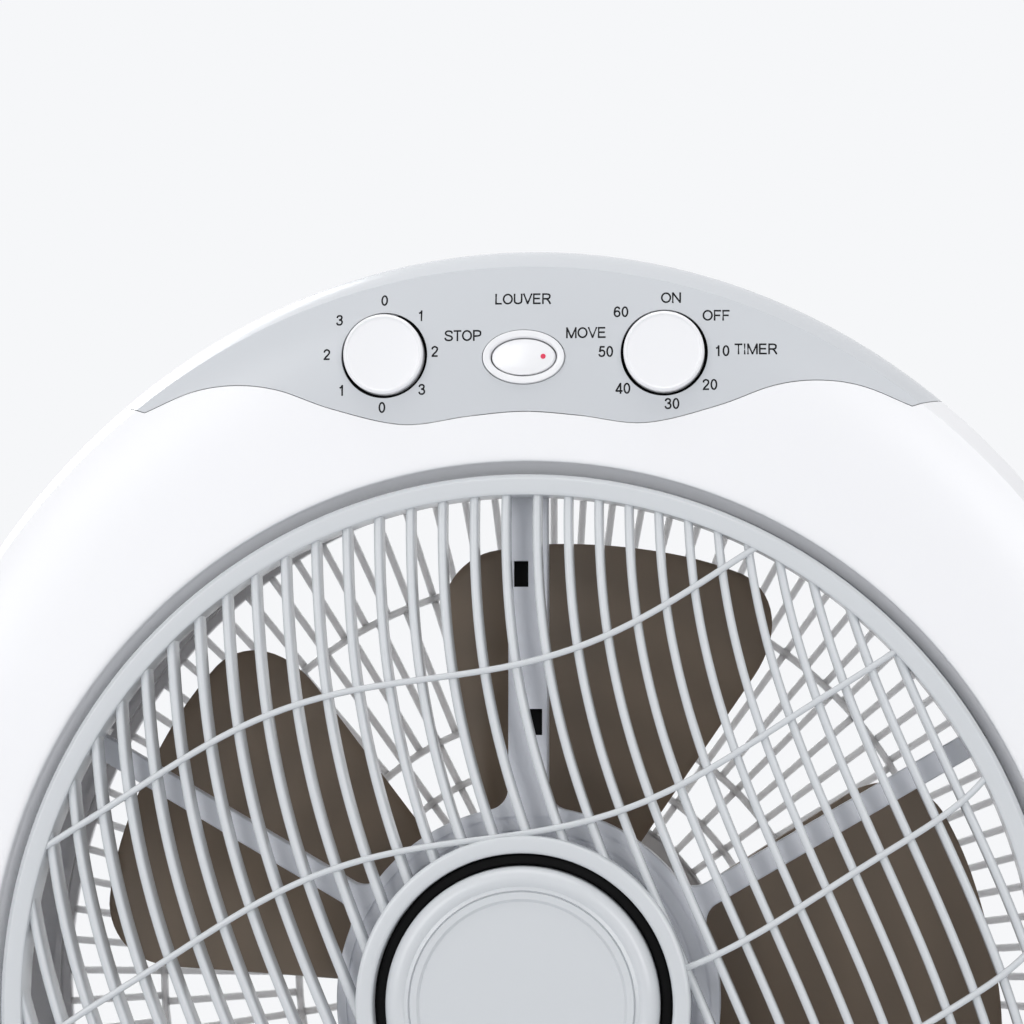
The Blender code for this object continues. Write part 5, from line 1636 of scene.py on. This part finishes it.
# Lettering

CAP_HEIGHT = 0.0040
LETTER_STRETCH = 0.90
STROKE = 0.00032
INK_LIFT = 0.00008
CURVE_STEPS = 4
OVAL_STEPS = 32
INK_SHARP_ANGLE = 30.0
# Each letter's advance and strokes in hundredths of the cap height. Four numbers are a stroke
# from point to point, more are a smooth stroke through points, and "O" stands before the centre
# and half sizes of an oval.
GLYPHS = {
    "0": (78, ("O", 39, 50, 26, 43)),
    "1": (78, (44, 100, 44, 0), (44, 93, 36, 81, 18, 71)),
    "2": (
        78,
        (12, 68, 17, 84, 38, 93, 60, 83, 63, 66, 50, 46, 27, 25, 13, 6),
        (6, 7, 68, 7),
    ),
    "3": (
        78,
        (12, 72, 20, 88, 38, 93, 56, 87, 60, 72, 52, 58, 32, 53),
        (32, 53, 56, 48, 65, 30, 56, 12, 38, 7, 18, 12, 10, 28),
    ),
    "4": (78, (3, 26, 74, 26), (6, 22, 53, 96), (53, 100, 53, 0)),
    "5": (
        78,
        (20, 93, 66, 93),
        (25, 97, 16, 46),
        (16, 49, 36, 61, 58, 54, 65, 34, 56, 13, 36, 7, 18, 12, 10, 27),
    ),
    "6": (
        78,
        (63, 74, 55, 88, 39, 93, 21, 83, 12, 52, 13, 30),
        ("O", 38.5, 32, 26, 25),
    ),
    "E": (93, (15, 100, 15, 0), (10, 93, 82, 93), (10, 52, 77, 52), (10, 7, 85, 7)),
    "F": (85, (15, 100, 15, 0), (10, 93, 80, 93), (10, 49, 71, 49)),
    "I": (39, (19, 100, 19, 0)),
    "L": (78, (13, 100, 13, 0), (10, 7, 72, 7)),
    "M": (116, (13, 0, 13, 100), (12, 99, 59, 1), (57, 1, 104, 99), (103, 0, 103, 100)),
    "N": (101, (13, 0, 13, 100), (12, 98, 88, 2), (87, 0, 87, 100)),
    "O": (109, ("O", 54.5, 50, 43, 43)),
    "P": (
        93,
        (15, 0, 15, 100),
        (10, 93, 56, 93),
        (56, 93, 78, 86, 83, 69, 77, 52, 56, 45),
        (56, 45, 10, 45),
    ),
    "R": (
        101,
        (15, 0, 15, 100),
        (10, 93, 60, 93),
        (60, 93, 80, 86, 84, 71, 78, 55, 60, 49),
        (60, 49, 10, 49),
        (50, 49, 67, 36, 92, 0),
    ),
    "S": (
        93,
        (81, 70, 74, 87, 47, 93, 21, 86, 15, 70, 26, 57, 48, 50),
        (48, 50, 73, 42, 82, 27, 72, 12, 46, 7, 18, 14, 10, 32),
    ),
    "T": (85, (3, 93, 82, 93), (42.5, 97, 42.5, 0)),
    "U": (
        101,
        (14, 100, 14, 38),
        (14, 38, 20, 17, 50, 7, 80, 17, 86, 38),
        (86, 38, 86, 100),
    ),
    "V": (93, (5, 100, 48, 2), (45, 2, 88, 100)),
}
# Each word or number, and its middle as (x, up).
LABELS = (
    ("0", -0.0512, 0.2542),
    ("1", -0.0376, 0.2482),
    ("2", -0.0324, 0.2349),
    ("3", -0.0371, 0.2210),
    ("0", -0.0517, 0.2145),
    ("1", -0.0665, 0.2209),
    ("2", -0.0721, 0.2342),
    ("3", -0.0677, 0.2470),
    ("LOUVER", -0.0003, 0.2540),
    ("STOP", -0.0222, 0.2406),
    ("MOVE", 0.0227, 0.2412),
    ("60", 0.0354, 0.2488),
    ("ON", 0.0535, 0.2540),
    ("OFF", 0.0698, 0.2473),
    ("10", 0.0719, 0.2341),
    ("20", 0.0675, 0.2218),
    ("30", 0.0538, 0.2150),
    ("40", 0.0361, 0.2207),
    ("50", 0.0299, 0.2342),
    ("TIMER", 0.0841, 0.2347),
)


def stroke_path(stroke):
    """Points of a letter's stroke in cap heights, and whether it closes on itself."""
    closed = stroke[0] == "O"
    if closed:
        across, rise, wide, tall = (number / 100 for number in stroke[1:])
        round_path = oval(wide, tall, (across, rise), 0.0, turns(OVAL_STEPS))
        return [point[:2] for point in round_path], closed
    points = [(x / 100, y / 100) for x, y in zip(stroke[::2], stroke[1::2])]
    return smooth_through(points, CURVE_STEPS if len(points) > 2 else 1), closed


class FAN_OT_lettering(bpy.types.Operator):
    """Print the generic dial numbers and function words on the panel"""

    bl_idname = "fan.lettering"
    bl_label = "Lettering"

    def execute(self, context):
        strokes = bpy.data.curves.new("panel_print", "CURVE")
        strokes.dimensions = "3D"
        strokes.twist_mode = "Z_UP"
        strokes.bevel_depth = STROKE
        strokes.bevel_resolution = 1
        strokes.use_fill_caps = True
        for text, x, up in LABELS:
            pen = -sum(GLYPHS[letter][0] / 100 for letter in text) / 2
            for letter in text:
                advance, *parts = GLYPHS[letter]
                for path, closed in map(stroke_path, parts):
                    placed = []
                    for across, rise in path:
                        across = (pen + across) * LETTER_STRETCH * CAP_HEIGHT
                        placed.append((x + across, up + (rise - 0.5) * CAP_HEIGHT))
                    add_line(strokes, placed, closed)
                pen += advance / 100
        print_film = bake(new_object("panel_print", strokes))
        print_film.data.transform(Matrix.Diagonal((1.0, 1.0, INK_LIFT / STROKE, 1.0)))
        for vertex in print_film.data.vertices:
            vertex.co.z -= face_depth(vertex.co.x, vertex.co.y)
        set_up(print_film, "ink", "housing", angle=INK_SHARP_ANGLE)
        return {"FINISHED"}


# Small outer pieces

TRAY_WALL = 0.002
TRAY_EDGE = 0.0009
GLAND_BORE = 0.0035
GLAND_NECK = 0.0067
GLAND_FLANGE = 0.009
GLAND_FLANGE_LENGTH = 0.002
# Half of a foot's outline under the housing, as (depth, height), after its outer bottom corner.
FOOT_PROFILE = ((0.100, 0.010), (0.086, 0.017), (0.064, 0.034))
FOOT_EDGE = 0.002
FOOT_EDGE_ANGLE = 20.0
SADDLE_BACK = 0.25


class FAN_OT_grip_and_gland(bpy.types.Operator):
    """Build the carrying grip's tray and the cord's gland"""

    bl_idname = "fan.grip_and_gland"
    bl_label = "Grip and gland"

    def execute(self, context):
        back = depth_of("grip_tray")[1]
        tray = node_block("grip_recess", "grip_tray", 0.0, back)
        combine(tray, [node_block("hollow", "grip_tray", -TRAY_WALL, back + REACH)])
        bevel(tray, TRAY_EDGE, 3)
        set_up(tray, "housing", "housing", "grip_tray")

        front, back = depth_of("cord_gland")
        neck = back - GLAND_FLANGE_LENGTH
        profile = [(GLAND_BORE, front), (GLAND_NECK, front), (GLAND_NECK, neck)]
        profile += [(GLAND_FLANGE, neck), (GLAND_FLANGE, back), (GLAND_BORE, back)]
        profile = soften(profile, FINE_EDGE, closed=True)
        gland = turned("gland_bush", profile, True, SMALL_STEPS, centre_of("cord_gland"))
        set_up(gland, "black", "housing", "cord_gland")
        return {"FINISHED"}


class FAN_OT_feet(bpy.types.Operator):
    """Build the two feet and their rubber pads"""

    bl_idname = "fan.feet"
    bl_label = "Feet"

    def execute(self, context):
        for side in ("left", "right"):
            self.build_foot("stand_" + side, "foot_" + side, context.scene.fan_housing.seam)
        for number, node in enumerate(numbered("foot_pad", 4), 1):
            low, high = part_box(node)
            radius, top = (high.x - low.x) / 2, -high.z
            profile = soften([(0.0, top), (radius, top), (radius, 0.0), (0.0, 0.0)], EDGE)
            pad = turned(f"rubber_pad_{number}", profile, steps=SMALL_STEPS)
            middle = ((low.x + high.x) / 2, (low.y + high.y) / 2, 0.0)
            pad.data.transform(Matrix.Translation(middle))
            dress(pad, "rubber", "housing", node)
        return {"FINISHED"}

    def build_foot(self, name, node, seam):
        """A wedge-shaped foot, hollowed on top to fit the housing's round bottom."""
        low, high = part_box(node)
        half = [(high.y, low.z)] + list(FOOT_PROFILE)
        profile = half + [(-y, z) for y, z in reversed(half)]
        bm = bmesh.new()
        face = bm.faces.new([bm.verts.new((low.x, y, z)) for y, z in profile])
        pulled = bmesh.ops.extrude_face_region(bm, geom=[face])["geom"]
        moved = [v for v in pulled if isinstance(v, bmesh.types.BMVert)]
        bmesh.ops.translate(bm, verts=moved, vec=(high.x - low.x, 0.0, 0.0))
        bmesh.ops.recalc_face_normals(bm, faces=bm.faces)
        foot = bevel(mesh_object(name, bm), FOOT_EDGE, 3, FOOT_EDGE_ANGLE)
        outline = [polar(outline_radius(a) + seam, a) for a in turns(SHELL_STEPS)]
        combine(foot, [put_in_place(plate("saddle", [outline], -REACH, SADDLE_BACK))])
        dress(foot, "housing", "housing", node)


# Motor and louver drive

CASTING_WALL = 0.0025
CASTING_BORE = 0.0046
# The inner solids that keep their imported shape, by material.
KEPT_NODES = {
    "laminations": ("stator_core", "rotor_core"),
    "copper": ("front_coil_ring", "rear_coil_ring"),
    "bronze": ("front_bearing", "rear_bearing", "speed_spindle", "timer_spindle"),
    "screw": ("motor_shaft", "louver_shaft", "louver_motor"),
    "black": (
        "louver_retainer",
        "speed_switch_body",
        "timer_body",
        "rocker_switch_body",
        "capacitor",
        # wire_cover is coloured black so that the carrier's wire holes show dark in front of it.
        "wire_cover",
    ),
}


class FAN_OT_motor(bpy.types.Operator):
    """Dress the motor, the louver drive and the switch bodies"""

    bl_idname = "fan.motor"
    bl_label = "Motor and drive"

    def execute(self, context):
        for node in ("front_motor_housing", "rear_motor_housing"):
            closed_end, open_end = depth_of(node)
            wall = CASTING_WALL
            if node.startswith("rear"):
                closed_end, open_end, wall = open_end, closed_end, -CASTING_WALL
            outer = radius_of(node)
            profile = [
                (CASTING_BORE, closed_end),
                (outer, closed_end),
                (outer, open_end),
                (outer - CASTING_WALL, open_end),
                (outer - CASTING_WALL, closed_end + wall),
                (CASTING_BORE, closed_end + wall),
            ]
            profile = soften(profile, WIDE_EDGE, closed=True)
            piece = turned(node + "_casting", profile, closed=True)
            set_up(piece, "cast", "housing", node)
        for material, nodes in KEPT_NODES.items():
            for node in nodes:
                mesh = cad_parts[node].data
                mesh.materials.clear()
                mesh.materials.append(MATERIALS[material])
        return {"FINISHED"}


# Stage

LENS = 105.47
SENSOR = 36.0
CAMERA_PLACE = (0.088, -1.077, 0.087)
CAMERA_YAW = math.radians(4.89)
CAMERA_PITCH = math.radians(4.71)
CAMERA_ROLL = math.radians(0.06)
CAMERA_RANGE = (0.05, 60.0)
BACKDROP = "F6F7F9"
FLOOR_HALF = 12.0
FLOOR_COLOUR = "D6D8DB"
FLOOR_FADE = (0.4, 1.5)  # from where to where the floor runs out into the backdrop
FILL_COLOUR = "F8F9FC"
FILL_LIGHT = 0.47
FILL_FROM_LEFT = 0.17
FILL_FROM_ABOVE = 0.20
FILL_FROM_BEHIND = 0.34
# Soft square lamps: name, place, size in metres and power in watts.
LAMPS = (
    ("left", (-1.30, -2.4, 0.95), 1.4, 17.5),
    ("right", (1.35, -2.4, 0.95), 1.4, 17.0),
    ("top", (0.0, -0.4, 2.3), 1.6, 16.0),
    ("back", (-1.2, 1.5, 1.25), 1.2, 16.0),
)


def pale_floor():
    """Pale matt floor that keeps the fan's shadow and runs out into the backdrop's colour."""
    material, tree, shader, point = new_material(
        "pale_floor", Roughness=0.9, Specular_IOR_Level=0.0, Emission_Color=linear(BACKDROP)
    )
    far = add_node(tree, "ShaderNodeVectorMath", LENGTH, (point,)).outputs["Value"]
    soft = {"interpolation_type": "SMOOTHSTEP"}
    values = {"Value": far, "From Min": FLOOR_FADE[0], "From Max": FLOOR_FADE[1]}
    fade = add_node(tree, "ShaderNodeMapRange", soft, values).outputs["Result"]
    values = {"Factor": fade, "A": linear(FLOOR_COLOUR), "B": (0.0, 0.0, 0.0, 1.0)}
    colour = add_node(tree, "ShaderNodeMix", {"data_type": "RGBA"}, values)
    tree.links.new(colour.outputs["Result"], shader.inputs["Base Color"])
    tree.links.new(fade, shader.inputs["Emission Strength"])
    return material


class FAN_OT_stage(bpy.types.Operator):
    """Build the floor, the soft lights, the backdrop and the camera"""

    bl_idname = "fan.stage"
    bl_label = "Stage"

    def execute(self, context):
        bm = bmesh.new()
        bmesh.ops.create_grid(bm, x_segments=4, y_segments=4, size=FLOOR_HALF)
        floor = mesh_object("floor", bm)
        floor.data.materials.append(pale_floor())
        self.build_world(context.scene)
        for lamp in LAMPS:
            self.build_lamp(*lamp)
        self.build_camera(context.scene)
        context.scene.view_settings.view_transform = "Standard"
        return {"FINISHED"}

    def build_world(self, scene):
        """Even light from all round, and the backdrop's colour where the world itself is seen."""
        world = bpy.data.worlds.new("studio")
        scene.world = world
        world.use_nodes = True
        tree = world.node_tree
        tree.nodes.clear()
        path = add_node(tree, "ShaderNodeLightPath").outputs
        seen = path["Is Camera Ray"]
        for ray in ("Is Transmission Ray", "Is Glossy Ray"):
            seen = add_node(tree, MATH, LARGEST, (seen, path[ray]))
        direction = add_node(tree, "ShaderNodeTexCoord").outputs["Generated"]
        axes = add_node(tree, "ShaderNodeSeparateXYZ", None, (direction,)).outputs
        leaning = (("X", -FILL_FROM_LEFT), ("Z", FILL_FROM_ABOVE), ("Y", FILL_FROM_BEHIND))
        parts = [add_node(tree, MATH, MULTIPLY, (axes[axis], share)) for axis, share in leaning]
        level = parts[0]
        for part in (*parts[1:], FILL_LIGHT):
            level = add_node(tree, MATH, ADD, (level, part))
        fill = {"Color": linear(FILL_COLOUR), "Strength": level}
        fill = add_node(tree, "ShaderNodeBackground", None, fill)
        shown = {"Color": linear(BACKDROP), "Strength": 1.0}
        shown = add_node(tree, "ShaderNodeBackground", None, shown)
        mix = add_node(tree, "ShaderNodeMixShader", None, (seen, fill, shown))
        add_node(tree, "ShaderNodeOutputWorld", None, {"Surface": mix})

    def build_lamp(self, name, place, size, power):
        data = bpy.data.lights.new(name, "AREA")
        data.shape = "SQUARE"
        data.size = size
        data.energy = power
        lamp = new_object(name, data)
        lamp.location = place
        aim = Vector((0.0, 0.0, HUB_Z)) - lamp.location
        lamp.rotation_euler = aim.to_track_quat("-Z", "Y").to_euler()

    def build_camera(self, scene):
        data = bpy.data.cameras.new("camera")
        data.lens = LENS
        data.sensor_width = SENSOR
        data.clip_start, data.clip_end = CAMERA_RANGE
        camera = new_object("camera", data)
        x, depth, up = CAMERA_PLACE
        camera.location = (x, FRONT_Y + depth, HUB_Z + up)
        level = Vector((math.cos(CAMERA_YAW), math.sin(CAMERA_YAW), 0.0))
        level_share = math.cos(CAMERA_PITCH)
        ahead, sideways = math.cos(CAMERA_YAW) * level_share, -math.sin(CAMERA_YAW) * level_share
        forward = Vector((sideways, ahead, math.sin(CAMERA_PITCH)))
        above = level.cross(forward)
        right = level * math.cos(CAMERA_ROLL) + above * math.sin(CAMERA_ROLL)
        above = above * math.cos(CAMERA_ROLL) - level * math.sin(CAMERA_ROLL)
        camera.rotation_euler = Matrix((right, above, -forward)).transposed().to_euler()
        scene.camera = camera


OPERATORS = (
    FAN_OT_housing,
    FAN_OT_control_panel,
    FAN_OT_louver_wheel,
    FAN_OT_hub_cap,
    FAN_OT_carrier,
    FAN_OT_blades,
    FAN_OT_rear_grille,
    FAN_OT_motor,
    FAN_OT_screws,
    FAN_OT_dials,
    FAN_OT_rocker,
    FAN_OT_lettering,
    FAN_OT_grip_and_gland,
    FAN_OT_feet,
    FAN_OT_stage,
)


class FAN_PT_sidebar(bpy.types.Panel):
    """List the fan's pieces in the sidebar"""

    bl_idname = "FAN_PT_sidebar"
    bl_label = "Box fan"
    bl_space_type = "VIEW_3D"
    bl_region_type = "UI"
    bl_category = "Fan"

    def draw(self, context):
        for name, group in GROUPS.items():
            box = self.layout.box()
            for field in group.__annotations__:
                box.prop(getattr(context.scene, name), field)
        for operator in OPERATORS:
            self.layout.operator(operator.bl_idname)


def register():
    for group in GROUPS.values():
        bpy.utils.register_class(group)
    for name, group in GROUPS.items():
        setattr(bpy.types.Scene, name, PointerProperty(type=group))
    for cls in (*OPERATORS, FAN_PT_sidebar):
        bpy.utils.register_class(cls)


def unregister():
    for cls in reversed((*OPERATORS, FAN_PT_sidebar)):
        bpy.utils.unregister_class(cls)
    for name in GROUPS:
        delattr(bpy.types.Scene, name)
    for group in reversed(list(GROUPS.values())):
        bpy.utils.unregister_class(group)


def main():
    register()
    make_materials()
    for operator in OPERATORS:
        group, name = operator.bl_idname.split(".")
        getattr(getattr(bpy.ops, group), name)()


if __name__ == "__main__":
    main()
